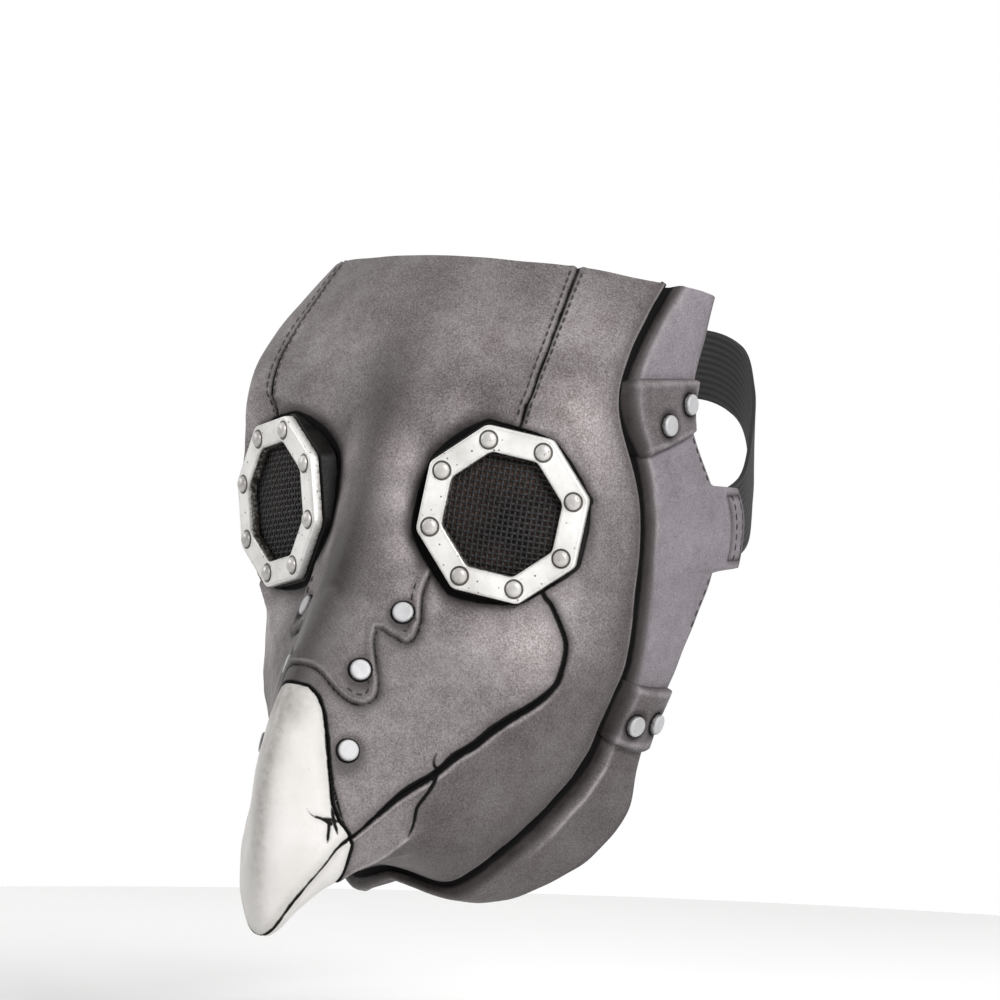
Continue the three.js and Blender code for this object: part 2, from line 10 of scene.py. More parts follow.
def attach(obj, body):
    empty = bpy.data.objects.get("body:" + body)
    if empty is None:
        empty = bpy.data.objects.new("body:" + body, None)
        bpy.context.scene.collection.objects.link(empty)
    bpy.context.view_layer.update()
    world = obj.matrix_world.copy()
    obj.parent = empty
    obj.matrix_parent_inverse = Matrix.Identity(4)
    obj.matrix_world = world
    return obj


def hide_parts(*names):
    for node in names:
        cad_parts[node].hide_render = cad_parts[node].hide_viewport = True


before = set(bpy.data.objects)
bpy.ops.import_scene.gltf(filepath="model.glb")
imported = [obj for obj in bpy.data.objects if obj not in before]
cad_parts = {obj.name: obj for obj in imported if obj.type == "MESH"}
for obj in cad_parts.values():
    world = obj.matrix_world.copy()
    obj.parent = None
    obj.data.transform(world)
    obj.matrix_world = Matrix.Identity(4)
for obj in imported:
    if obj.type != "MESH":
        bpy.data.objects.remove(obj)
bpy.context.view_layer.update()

# Sizes in millimetres, most of them repeated from the solids. X is the wearer's left, the beak points
# along -Y and Z is up.
MM = 0.001
WALL = 2.0
THIN_WALL = 1.3
GAP = 0.3
MIRROR = np.array([-1.0, 1.0, 1.0])
EYE_CENTRE = np.array([49.8, 0.0, 0.0])
EYE_SPLAY = math.radians(22.5)
EYE_TURN = math.radians(-11.25)
EYE_OUT = np.array([math.sin(EYE_SPLAY), -math.cos(EYE_SPLAY), 0.0])
EYE_SIDE = np.array([math.cos(EYE_SPLAY), math.sin(EYE_SPLAY), 0.0])
EYE_UP = np.array([0.0, 0.0, 1.0])
EIGHTH = math.pi / 4
FLAT_ANGLES = EYE_TURN + EIGHTH * (np.arange(8) + 0.5)
FLAT_SHARE = math.cos(EIGHTH / 2)
FRAME_OUTER = 30.5
FRAME_INNER = 21.3
FRAME_THICK = 3.2
STUD_CIRCLE = 25.3
BEZEL_OUTER = 31.6
BEZEL_INNER = 22.5
BEZEL_DEPTH = 6.0
SEAT_TOP = -FRAME_THICK - GAP
SEAT = {"radius": 32.0, "below": 4.2, "slope": 0.5, "reach": 46.0, "steep": 2.0}
NET_RADIUS = 22.1

GROOVE_BACK = [0.0, 0.5, 1.2, 2.1, 3.0, 3.8, 4.8, 6.0]
GROOVE_HEIGHT = [0.0, -1.7, -3.0, -3.2, -2.9, -1.7, -0.7, -0.5]
BAND_LEVEL = -0.8
BAND_BULGE = 2.0
BAND_WIDTH_FOR_FULL_GROOVE = 12.0
EAR_TAB = {"reach": 14.0, "top": 8.5, "bottom": -19.0, "shoulder": 1.8}
EAR_PATCH = {"near": 1.5, "far": 9.4, "top": 6.2, "bottom": -16.8}
CHIN_RIDGE_BACK = 8.6
CHIN_RIDGE_WAYS = (0.75, 1.5)
TAB_THICK = 2.6
STRAP = {"width": 25.0, "thick": 1.5}

# Sections of the face from hair line to chin: ridge, nose, cheek, temple, groove and rim.
FACE_SECTIONS = [
    ([0, 26, 86], [28, 28, 85], [53, 37, 83], [67, 48, 80], [74, 57, 78], [78, 80, 74]),
    ([0, 9, 64], [29, 12, 64], [57, 20, 63], [71, 27, 61], [78, 36, 59], [80.5, 70, 56]),
    ([0, -2, 42], [28, 1, 42], [57, 6, 42], [73, 12.5, 40], [80.5, 24, 37], [81, 64, 38]),
    ([0, -9, 20], [22, 0, 20], [50, 1, 20], [74, 12, 19], [82, 30, 18], [80.5, 70, 21]),
    ([0, -16, 0], [18, -6, -1], [47, 2, 0], [76, 15.5, 1], [82, 35, 2], [80, 82, 3]),
    ([0, -26, -22], [18, -13, -24], [46, -2, -24], [72, 17.5, -19], [81, 36.5, -14], [78.5, 83.5, -17]),
    ([0, -44, -50], [15, -31, -53], [43, -7, -46], [67.5, 18.6, -35], [79, 37, -29], [76.5, 76, -36]),
    ([0, -58, -80], [17, -41, -79], [40, -11, -66], [65, 15.3, -48], [76.7, 38, -43], [73.5, 71, -50]),
    ([0, -63, -112], [16.7, -47.8, -100], [38, -12.5, -79], [63, 12.5, -57], [74, 38.5, -52.5],
     [71, 66.5, -62]),
    ([0, -60.5, -141], [16.6, -50.6, -118], [36, -12.5, -89], [60, 11, -65], [71, 37.7, -60],
     [68.5, 61, -74]),
    ([0, -47, -134], [12, -41.5, -125.5], [34, -8, -101.5], [56, 15, -81], [66.7, 36.3, -70], [66, 58, -88]),
    ([0, -20, -120.5], [15, -19, -117], [33.5, 3, -112], [52, 21, -93], [62.5, 35.5, -80], [63, 57.5, -102]),
    ([0, 7, -122], [16, 9, -126], [32, 14.5, -120.7], [47, 27.5, -103], [56.7, 33.7, -89.8],
     [55.5, 55.5, -113]),
]
CHIN_RIM = [[46, 47, -124], [32, 31.5, -133.5], [15, 15.5, -132.5], [0, 10, -128]]

# Edge of the ivory tip in side view, as back and up, and a place in front of it.
TIP_EDGE = [
    (-56, -56.6), (-48.5, -57.1), (-45.6, -58.2), (-44, -61.6), (-43.7, -66.3), (-44.6, -74), (-45.5, -84),
    (-45.9, -97), (-44.9, -103), (-41.6, -108), (-39.2, -110.8), (-38.6, -116), (-37.6, -122), (-37.2, -150),
]
TIP_FRONT = -100.0

# Beak rivets as across and up, tab corners and tab rivets as back and up, and half of the strap's path.
BEAK_RIVET_START = [0.3, 0.6]
BEAK_RIVETS = {"upper": (21, -34), "middle": (15.4, -53), "lower": (18.2, -79.2)}
TABS = {
    "temple_tab": {
        "corners": [(31, 46), (67, 46), (37, 19), (65, 28)],
        "rivets": {"temple_rivet_front": (45, 30.5), "temple_rivet_rear": (58, 37.5)},
    },
    "jaw_tab": {
        "corners": [(43.5, -57.6), (67.5, -59), (40, -78), (61, -81)],
        "rivets": {"jaw_rivet_front": (46.8, -71.5), "jaw_rivet_rear": (59.3, -71.5)},
    },
}
STRAP_PATH = [
    (75.4, 82, -5), (75, 92, -4.5), (72.5, 105, 0), (64, 121, 14), (50, 140, 30), (27, 162, 44), (0, 172, 49),
]

# Sculpted lines, as shares across the face (0 mid-line, 1 groove) and down it (0 hair line, 1 chin).
NOSE_SEAM = [
    [
        (0.385, 0.40), (0.33, 0.43), (0.290, 0.463), (0.290, 0.482), (0.310, 0.502), (0.330, 0.520),
        (0.333, 0.533), (0.320, 0.538), (0.283, 0.533), (0.243, 0.527), (0.217, 0.523), (0.203, 0.523),
    ],
    [
        (0.203, 0.523), (0.210, 0.533), (0.237, 0.552), (0.263, 0.570), (0.280, 0.587), (0.277, 0.602),
        (0.250, 0.607), (0.220, 0.605), (0.183, 0.597), (0.150, 0.588), (0.110, 0.578), (0.057, 0.573),
        (0.0, 0.573),
    ],
]
MOUTH_LINE = [
    (0.657, 0.452), (0.683, 0.483), (0.720, 0.518), (0.760, 0.567), (0.803, 0.630), (0.813, 0.678),
    (0.813, 0.738), (0.777, 0.768), (0.727, 0.768), (0.667, 0.763), (0.610, 0.765), (0.560, 0.759),
    (0.510, 0.767), (0.453, 0.767), (0.377, 0.778), (0.307, 0.788), (0.260, 0.787), (0.233, 0.791),
    (0.200, 0.792), (0.143, 0.787), (0.077, 0.788), (0.0, 0.79),
]
FOREHEAD_SEAM = [
    (0.535, 0.335), (0.537, 0.30), (0.540, 0.267), (0.533, 0.245), (0.530, 0.222), (0.520, 0.197),
    (0.51, 0.15), (0.505, 0.08), (0.505, 0.0),
]
MANDIBLE_EDGE = [(0.433, 0.848), (0.38, 0.857), (0.33, 0.856), (0.277, 0.852), (0.230, 0.860)]

# Fine cracks and tears: half thickness and depth in millimetres, and places on the face as above.
THIN_LINES = {
    "flap": (0.5, 0.35, [(0.160, 0.632), (0.167, 0.648), (0.207, 0.693), (0.253, 0.740), (0.293, 0.785)]),
    "tip_crack": (0.8, 0.5, [(0.153, 0.713), (0.172, 0.7225), (0.190, 0.728), (0.230, 0.745)]),
    "jaw_crack": (0.75, 0.6, [
        (0.500, 0.722), (0.503, 0.753), (0.517, 0.772), (0.513, 0.792), (0.493, 0.803), (0.470, 0.813),
        (0.457, 0.833), (0.433, 0.848),
    ]),
    "long_tear": (0.66, 0.3, [(0.222, 0.724), (0.236, 0.742), (0.248, 0.757), (0.256, 0.768)]),
    "short_tear": (0.66, 0.3, [(0.222, 0.736), (0.226, 0.750), (0.228, 0.768)]),
    "cross_tear": (0.66, 0.3, [(0.205, 0.732), (0.228, 0.740), (0.250, 0.749), (0.268, 0.757)]),
}

# Half width of the mouth groove at shares of its length, and heights and reaches of the relief.
MOUTH_WIDTH = [
    (0.0, 0.5), (0.1, 0.6), (0.2, 0.9), (0.27, 1.4), (0.6, 1.4), (0.72, 0.95), (0.77, 0.55), (1.0, 0.45),
]
MOUTH = {"lip": 0.75, "lip_reach": 7.0, "jaw_reach": 9.0, "depth": 0.7, "depth_for_width": 1.15}
NOSE = {"step": 1.1, "reach": 6.5, "bead": 0.35, "crease": 0.6}
EYE_RELIEF = {"lip": 1.7, "halo_radius": 30.6, "zone": 25.0}
SEAM_CREASE = 1.1
SEAM_RIDGE = 0.4
FOLD_HEIGHT = 0.45
RIVET_DISH = {"radius": 4.4, "ring": 7.0, "height": 0.35, "shadow_drop": 1.8}
TIP_CREASE = 0.55
EDGE_CREASE = 0.6
BAND_SWELL = 0.5
PATCH_CREASE = 0.55

# Painted highlights: lighter places on the left half where the light falls brightest, with middle and reach
# in millimetres, and strength.
PAINTED_LIGHT_PLACES = [
    ((58, 7, -42), 13, 1.0), ((47, -2, -40), 10, 0.65), ((66, 12, -28), 10, 0.6), ((70, 9, 31), 15, 0.9),
    ((77, 17, 20), 11, 0.4), ((11, -6.6, 17), 9, 1.0), ((13, -8, 4), 8, 1.0), ((17, -10, -11), 8, 0.75),
    ((25, -12, -27), 8, 0.7), ((30, 0, 33), 10, 0.6), ((34, 2, 60), 22, 0.35), ((60, 22, 62), 16, 0.4),
]

# Fineness of the meshes, and limits for the sums.
COARSE = 2.5
FINE = 0.62
FINE_REACH = 2.6
COARSER_WITH_DISTANCE = 0.45
SPLIT_OVER = 1.45
REFINE_PASSES = 3
SECTION_STEPS = [11, 10, 9, 8, 9, 10, 9, 7, 6, 6, 8, 8]
STATION_STEPS = [9, 13, 12, 9]
BAND_FLAT_STEPS = 8
CURVE_SPACING = 0.4
BAND_TRIES = 101
RIM_TRIES = 2001
RIM_STEPS = 900
EDGE_STEPS = 1200
CHIN_RIDGE_STEPS = 300
PATCH_END_STEPS = 12
SHELL_FACES_KEPT = 0.66
PLAIN_CREASE = 40.0
SHEET_CREASE = 55.0
FRAME_CREASE = 50.0
PROBE_STEP = 1e-3
SOLVE_ROUNDS = 30
NEAR_MIDDLE = 1e-6
NO_INK = 6.0
FAR = 50.0


def smoothstep(value, low, high):
    share = np.clip((value - low) / (high - low), 0.0, 1.0)
    return share * share * (3.0 - 2.0 * share)


def fade(value, low, high):
    return 1.0 - smoothstep(value, low, high)


def bell(value, width):
    return np.exp(-np.square(value / width))


def unit(vectors):
    return vectors / np.maximum(np.linalg.norm(vectors, axis=-1, keepdims=True), 1e-12)


def distances(points, centre):
    return np.linalg.norm(points - centre, axis=1)


def lengths_along(points):
    return np.concatenate([[0.0], np.cumsum(np.linalg.norm(np.diff(points, axis=0), axis=1))])


def points_at(places, lengths, path):
    """Points at some lengths along a path."""
    return np.stack([np.interp(places, lengths, path[:, axis]) for axis in range(3)], 1)


def tree_of(points):
    tree = kdtree.KDTree(len(points))
    for number, point in enumerate(points):
        tree.insert(point, number)
    tree.balance()
    return tree


# Natural cubic splines as weights: the value at a place is the weights times the points.
def bend_matrix(knots):
    count = len(knots)
    span = np.diff(knots)
    left = np.eye(count)
    right = np.zeros((count, count))
    for i in range(1, count - 1):
        left[i, i - 1:i + 2] = [span[i - 1], 2.0 * (span[i - 1] + span[i]), span[i]]
        right[i, i - 1:i + 2] = [6.0 / span[i - 1], -6.0 / span[i - 1] - 6.0 / span[i], 6.0 / span[i]]
    return np.linalg.solve(left, right)


def spline_weights(knots, places):
    places = np.asarray(places, float)
    index = np.clip(np.searchsorted(knots, places, side="right") - 1, 0, len(knots) - 2)
    span = knots[index + 1] - knots[index]
    after = (places - knots[index]) / span
    before = 1.0 - after
    sixth = span * span / 6.0
    bends = bend_matrix(knots)
    weights = ((before ** 3 - before) * sixth)[:, None] * bends[index]
    weights += ((after ** 3 - after) * sixth)[:, None] * bends[index + 1]
    rows = np.arange(len(places))
    weights[rows, index] += before
    weights[rows, index + 1] += after
    return weights


def mean_knots(net, axis):
    lengths = np.linalg.norm(np.diff(net, axis=axis), axis=-1).mean(axis=1 - axis)
    knots = np.concatenate([[0.0], np.cumsum(lengths)])
    return knots / knots[-1]


HALF_NET = np.array([section[:5] for section in FACE_SECTIONS], float)
FULL_NET = np.concatenate([HALF_NET[:, :0:-1] * MIRROR, HALF_NET], axis=1)
DOWN_KNOTS = mean_knots(HALF_NET, 0)
ACROSS_KNOTS = mean_knots(HALF_NET, 1)
FULL_ACROSS_KNOTS = np.concatenate([-ACROSS_KNOTS[:0:-1], ACROSS_KNOTS])
RIM_KNOTS = np.concatenate([DOWN_KNOTS, 2.0 - ACROSS_KNOTS[-2::-1]])
RIM_POINTS = np.array([section[5] for section in FACE_SECTIONS] + CHIN_RIM, float)


# Face panel and rear band. The way round the panel edge is 0 to 1 down the groove, 1 to 2 under the chin.
def face_points(across, down):
    rows = np.tensordot(spline_weights(DOWN_KNOTS, down), FULL_NET, axes=1)
    return (rows * spline_weights(FULL_ACROSS_KNOTS, across)[:, :, None]).sum(axis=1)


def panel_edge(way):
    return face_points(np.where(way <= 1.0, 1.0, 2.0 - way), np.minimum(way, 1.0))


def band_rim(way):
    points = spline_weights(RIM_KNOTS, way) @ RIM_POINTS
    up = points[:, 2]
    above = smoothstep(up, EAR_TAB["bottom"] - EAR_TAB["shoulder"], EAR_TAB["bottom"])
    below = fade(up, EAR_TAB["top"], EAR_TAB["top"] + EAR_TAB["shoulder"])
    points[:, 1] += np.where(way <= 1.0, EAR_TAB["reach"] * above * below, 0.0)
    return points


def band_length(way):
    return np.linalg.norm(band_rim(way) - panel_edge(way), axis=1)


def band_chord(way, width):
    return panel_edge(way) * (1.0 - width[:, None]) + band_rim(way) * width[:, None]


def band_normal(way, width):
    ahead = band_chord(np.minimum(way + PROBE_STEP, 2.0), width)
    along = ahead - band_chord(np.maximum(way - PROBE_STEP, 0.0), width)
    return unit(np.cross(along, band_rim(way) - panel_edge(way)))


def band_points(way, width, lift):
    crown = BAND_BULGE * 4.0 * width * (1.0 - width)
    return band_chord(way, width) + band_normal(way, width) * (crown + lift)[:, None]


def groove_scale(way):
    return np.minimum(1.0, band_length(way) / BAND_WIDTH_FOR_FULL_GROOVE)


def groove_lift(way, width):
    scale = groove_scale(way)
    back = width * band_length(way) / scale
    return np.interp(back, GROOVE_BACK, GROOVE_HEIGHT) * scale


def solve_on(surface, start, wanted, axes):
    """Parameters of a surface at which two coordinates have the wanted values, the point and the normal."""
    place = np.array(start, float)

    def probe():
        here = surface(*place)
        first = surface(place[0] + PROBE_STEP, place[1]) - here
        second = surface(place[0], place[1] + PROBE_STEP) - here
        return here, np.array([first, second])
    for _ in range(SOLVE_ROUNDS):
        here, steps = probe()
        place += np.linalg.solve(steps[:, axes].T / PROBE_STEP, np.array(wanted) - here[axes])
    here, steps = probe()
    return place, here, unit(np.cross(*steps))


def face_at(across, down):
    return face_points(np.array([across]), np.array([down]))[0]


def place_on_band(lift, back, up):
    def surface(way, width):
        return band_points(np.array([way]), np.array([width]), np.array([lift]))[0]
    tries = np.linspace(0.0, 1.0, BAND_TRIES)
    heights = band_chord(tries, np.full(len(tries), 0.5))[:, 2]
    start = [tries[np.argmin(np.abs(heights - up))], 0.5]
    return solve_on(surface, start, [back, up], [1, 2])


def eye_place(points):
    """Height over the plane of the left eye frame, distance sideways, and distance out to the flats."""
    offset = points - EYE_CENTRE
    sideways = offset @ EYE_SIDE
    reach = sideways[:, None] * np.sin(FLAT_ANGLES) + offset[:, 2:3] * np.cos(FLAT_ANGLES)
    return offset @ EYE_OUT, sideways, reach.max(axis=1)


def press_to_seat(points):
    height, _, _ = eye_place(points)
    radius = distances(points - height[:, None] * EYE_OUT, EYE_CENTRE)
    limit = SEAT["slope"] * np.maximum(0.0, radius - SEAT["radius"]) - SEAT["below"]
    limit += SEAT["steep"] * np.maximum(0.0, radius - SEAT["reach"])
    return points - np.maximum(0.0, height - limit)[:, None] * EYE_OUT


def tip_level(points):
    """Distance to the ivory edge in side view, positive on the ivory side."""
    edge = np.array(TIP_EDGE, float)
    place = points[:, 1:]
    distance = np.full(len(points), np.inf)
    for start, end in zip(edge[:-1], edge[1:]):
        step = end - start
        share = np.clip(((place - start) @ step) / (step @ step), 0.0, 1.0)
        distance = np.minimum(distance, distances(place - share[:, None] * step, start))
    outline = np.concatenate([edge, [[TIP_FRONT, edge[-1, 1]], [TIP_FRONT, edge[0, 1]]]])
    inside = np.zeros(len(points), bool)
    for start, end in zip(outline, np.roll(outline, -1, axis=0)):
        if start[1] == end[1]:
            continue
        reached = start[0] + (place[:, 1] - start[1]) / (end[1] - start[1]) * (end[0] - start[0])
        between = (start[1] > place[:, 1]) != (end[1] > place[:, 1])
        inside ^= between & (place[:, 0] < reached)
    return np.where(inside, distance, -distance)


# Triangle meshes with columns of values at each vertex.
def grid_triangles(rows):
    first, second = rows[:-1, :-1].ravel(), rows[1:, :-1].ravel()
    third, fourth = rows[1:, 1:].ravel(), rows[:-1, 1:].ravel()
    return np.concatenate([np.stack([first, second, third], 1), np.stack([first, third, fourth], 1)])


def split_edges(columns, triangles, share_of):
    """New vertices on the edges for which share_of gives a share between the ends, and their triangles."""
    ends = np.sort(triangles[:, [[0, 1], [1, 2], [2, 0]]], axis=2)
    keys = ends[:, :, 0].astype(np.int64) * len(columns) + ends[:, :, 1]
    unique, inverse = np.unique(keys, return_inverse=True)
    inverse = inverse.reshape(keys.shape)
    low, high = unique // len(columns), unique % len(columns)
    share = share_of(low, high)
    cut = np.isfinite(share)
    number = np.full(len(unique), -1)
    number[cut] = len(columns) + np.arange(cut.sum())
    part = share[cut][:, None]
    added = columns[low[cut]] * (1.0 - part) + columns[high[cut]] * part
    middle = number[inverse]
    count = (middle >= 0).sum(axis=1)
    made = [triangles[count == 0]]
    for wanted, lone in ((1, True), (2, False)):
        chosen = np.flatnonzero(count == wanted)
        corner = np.argmax((middle[chosen] >= 0) == lone, axis=1)
        turn = (corner[:, None] + np.arange(3)) % 3
        a, b, c = np.take_along_axis(triangles[chosen], turn, axis=1).T
        ab, bc, ca = np.take_along_axis(middle[chosen], turn, axis=1).T
        parts = [(a, ab, c), (ab, b, c)] if lone else [(bc, c, ca), (a, b, bc), (a, bc, ca)]
        made += [np.stack(part, 1) for part in parts]
    chosen = count == 3
    a, b, c = triangles[chosen].T
    ab, bc, ca = middle[chosen].T
    made += [np.stack(part, 1) for part in ((a, ab, ca), (ab, b, bc), (ca, bc, c), (ab, bc, ca))]
    return np.concatenate([columns, added]), np.concatenate(made)


def cut_at_zero(columns, triangles, column):
    """The triangles on the positive and on the negative side of a column, parted where it is zero."""
    def crossing(low, high):
        first, second = columns[low, column], columns[high, column]
        share = first / np.where(first == second, 1.0, first - second)
        return np.where(first * second < 0.0, share, np.nan)
    columns, triangles = split_edges(columns, triangles, crossing)
    middle = columns[triangles, column].mean(axis=1)
    return columns, triangles[middle > 0.0], triangles[middle <= 0.0]


def vertex_normals(points, triangles):
    a, b, c = points[triangles].transpose(1, 0, 2)
    faces = np.cross(b - a, c - a)
    normals = np.zeros_like(points)
    for corner in range(3):
        np.add.at(normals, triangles[:, corner], faces)
    return unit(normals)


def walled(triangles, count):
    """Triangles of the closed solid between an outer sheet and an inner sheet numbered after it."""
    edges = np.concatenate([triangles[:, [0, 1]], triangles[:, [1, 2]], triangles[:, [2, 0]]])
    keys = edges[:, 0].astype(np.int64) * count + edges[:, 1]
    back_keys = edges[:, 1].astype(np.int64) * count + edges[:, 0]
    start, end = edges[~np.isin(keys, back_keys)].T
    walls = [np.stack([end, start, start + count], 1), np.stack([end, start + count, end + count], 1)]
    return triangles, triangles[:, ::-1] + count, np.concatenate(walls)


# Curves on the surface, with the distance, the side and the share along for any point.
def curve_of(points):
    lengths = lengths_along(points)
    return {"points": points, "tree": tree_of(points), "along": lengths / lengths[-1]}


def surface_curve(parts):
    points = []
    for part in parts:
        shares = np.array(part)
        knots = lengths_along(face_points(shares[:, 0], shares[:, 1]))
        places = np.linspace(0.0, knots[-1], int(knots[-1] / CURVE_SPACING) + 2)
        fine = spline_weights(knots, places) @ shares
        points.append(face_points(fine[:, 0], fine[:, 1]))
    return curve_of(press_to_seat(np.concatenate(points)))


def near_curve(curve, points, normals):
    line = curve["points"]
    last = len(line) - 1
    nearest = np.array([curve["tree"].find(point)[1] for point in points])
    best = np.full(len(points), np.inf)
    side = np.zeros(len(points))
    along = np.zeros(len(points))
    for first in (np.clip(nearest - 1, 0, last - 1), np.clip(nearest, 0, last - 1)):
        step = line[first + 1] - line[first]
        offset = points - line[first]
        share = (offset * step).sum(axis=1) / np.maximum((step * step).sum(axis=1), 1e-12)
        share = np.clip(share, 0.0, 1.0)
        miss = offset - step * share[:, None]
        distance = np.linalg.norm(miss, axis=1)
        closer = distance < best
        best = np.where(closer, distance, best)
        sideways = (np.cross(normals, step) * miss).sum(axis=1)
        side = np.where(closer, np.where(sideways < 0.0, -1.0, 1.0), side)
        here = curve["along"][first] * (1.0 - share) + curve["along"][first + 1] * share
        along = np.where(closer, here, along)
    return best * side, along


def along_rim(inset, top, bottom):
    ways = np.linspace(0.0, 1.0, RIM_STEPS)
    heights = band_rim(ways)[:, 2]
    ways = ways[(heights <= top) & (heights >= bottom)]
    return band_points(ways, 1.0 - inset / band_length(ways), np.full(len(ways), BAND_LEVEL))


def ear_patch_outline():
    top, bottom = EAR_PATCH["top"], EAR_PATCH["bottom"]
    sides = [along_rim(EAR_PATCH["near"], top, bottom), along_rim(EAR_PATCH["far"], top, bottom)[::-1]]
    ends = [np.linspace(sides[i][-1], sides[1 - i][0], PATCH_END_STEPS) for i in (0, 1)]
    return np.concatenate([sides[0], ends[0], sides[1], ends[1]])


def chin_ridge():
    ways = np.linspace(*CHIN_RIDGE_WAYS, CHIN_RIDGE_STEPS)
    widths = CHIN_RIDGE_BACK * groove_scale(ways) / band_length(ways)
    return band_points(ways, widths, groove_lift(ways, widths))


CURVES = {
    "nose": surface_curve(NOSE_SEAM),
    "mouth": surface_curve([MOUTH_LINE]),
    "forehead": surface_curve([FOREHEAD_SEAM]),
    "mandible": surface_curve([MANDIBLE_EDGE]),
    "ear_patch": curve_of(ear_patch_outline()),
    "chin_ridge": curve_of(chin_ridge()),
    "edge": curve_of(panel_edge(np.linspace(0.0, 2.0, EDGE_STEPS))),
}
CURVES.update({name: surface_curve([places]) for name, (_, _, places) in THIN_LINES.items()})
LINE_TREE = tree_of(np.concatenate([curve["points"] for curve in CURVES.values()]))
BEAK_RIVET_PLACES = {
    name: solve_on(face_at, BEAK_RIVET_START, wanted, [0, 2])[1:] for name, wanted in BEAK_RIVETS.items()
}

# Left half of the latex sheet: face panel, groove and rear band, refined along the sculpted lines.
ACROSS, DOWN, WAY, WIDTH, ON_FACE = range(5)
CHIN_WAY = 2.0 - 1e-9


def steps_between(knots, steps):
    values = [np.linspace(knots[i], knots[i + 1], count, endpoint=False) for i, count in enumerate(steps)]
    return np.concatenate(values + [[1.0]])


def rough_half():
    downs = steps_between(DOWN_KNOTS, SECTION_STEPS)
    tries = np.linspace(0.0, 1.0, RIM_TRIES)
    heights = (spline_weights(RIM_KNOTS, tries) @ RIM_POINTS)[:, 2]
    top, bottom, shoulder = EAR_TAB["top"], EAR_TAB["bottom"], EAR_TAB["shoulder"]
    ears = [tries[np.argmin(np.abs(heights - up))] for up in (top, top + shoulder, bottom, bottom - shoulder)]
    downs = np.unique(np.concatenate([downs, ears]))
    acrosses = steps_between(ACROSS_KNOTS, STATION_STEPS)
    rows = np.arange(len(downs) * len(acrosses)).reshape(len(downs), len(acrosses))
    columns = np.zeros((rows.size, 5))
    columns[:, DOWN] = np.repeat(downs, len(acrosses))
    columns[:, ACROSS] = np.tile(acrosses, len(downs))
    columns[:, ON_FACE] = 1.0
    edge = np.concatenate([rows[:, -1], rows[-1, -2::-1]])
    ways = np.concatenate([downs, 2.0 - acrosses[-2::-1]])
    columns[edge, WAY] = ways
    widths = [back * groove_scale(ways) / band_length(ways) for back in GROOVE_BACK[1:]]
    groove_end = widths[-1]
    widths += [groove_end * (1.0 - share) + share for share in np.linspace(0.0, 1.0, BAND_FLAT_STEPS + 1)[1:]]
    band = [edge]
    for width in widths:
        added = np.zeros((len(ways), 5))
        added[:, WAY] = ways
        added[:, WIDTH] = width
        band.append(len(columns) + np.arange(len(ways)))
        columns = np.concatenate([columns, added])
    return columns, np.concatenate([grid_triangles(rows), grid_triangles(np.stack(band, 1))])


def half_points(columns):
    points = np.zeros((len(columns), 3))
    on_face = columns[:, ON_FACE] == 1.0
    face, band = columns[on_face], columns[~on_face]
    points[on_face] = press_to_seat(face_points(face[:, ACROSS], face[:, DOWN]))
    way, width = band[:, WAY], band[:, WIDTH]
    points[~on_face] = band_points(way, width, groove_lift(way, width))
    points[columns[:, WAY] > CHIN_WAY, 0] = 0.0
    return points


def line_distance(points):
    reach = np.array([LINE_TREE.find(point)[2] for point in points])
    for centre, _ in BEAK_RIVET_PLACES.values():
        reach = np.minimum(reach, np.abs(distances(points, centre) - RIVET_DISH["radius"] - 0.1))
    return np.minimum(reach, np.abs(tip_level(points)))


def fine_half():
    columns, triangles = rough_half()
    for _ in range(REFINE_PASSES):
        points = half_points(columns)
        wanted = FINE + COARSER_WITH_DISTANCE * (line_distance(points) - FINE_REACH)
        wanted = np.clip(wanted, FINE, COARSE)

        def halves(low, high):
            length = np.linalg.norm(points[low] - points[high], axis=1)
            return np.where(length > SPLIT_OVER * np.minimum(wanted[low], wanted[high]), 0.5, np.nan)
        columns, triangles = split_edges(columns, triangles, halves)
        columns[:, ON_FACE] = np.floor(columns[:, ON_FACE])
    return columns, triangles


# Relief and paint of the half sheet, one function for each sculpted place.
def unevenness(points):
    """Gentle waves of a hand-made casting."""
    x, y, z = points.T / 10.0
    slow = 0.16 * np.sin(1.3 * x + 0.7 * z) * np.sin(1.1 * y - 0.9 * z)
    return slow + 0.08 * np.sin(2.9 * x + 2.3 * y + 3.1 * z)


class Coat:
    """Relief in millimetres and paint at the vertices of the half sheet, built up place by place."""

    def __init__(self, columns, points, normals):
        self.across, self.down, self.way, self.width, on_face = columns.T
        self.on_face = on_face == 1.0
        self.points = points
        self.normals = normals
        self.up = points[:, 2]
        height, self.sideways, octagon = eye_place(points)
        outside = octagon - BEZEL_OUTER * FLAT_SHARE
        self.outside = np.where(np.abs(height) < EYE_RELIEF["zone"], outside, FAR)
        self.clear_of_eye = smoothstep(self.outside, 1.0, 5.0)
        self.relief = unevenness(points)
        self.ink = np.full(len(points), NO_INK)
        self.wash, self.dry, self.tint, self.pale = np.zeros((4, len(points)))

    def near(self, name):
        return near_curve(CURVES[name], self.points, self.normals)

    def add(self, relief=0.0, ink=NO_INK, wash=0.0, dry=0.0):
        """Add to the relief, and keep the nearest ink, the strongest black paint with painted shade, and the
        strongest painted highlight.
        """
        self.relief = self.relief + relief
        self.ink = np.minimum(self.ink, ink)
        self.wash = np.maximum(self.wash, wash)
        self.dry = np.maximum(self.dry, dry)


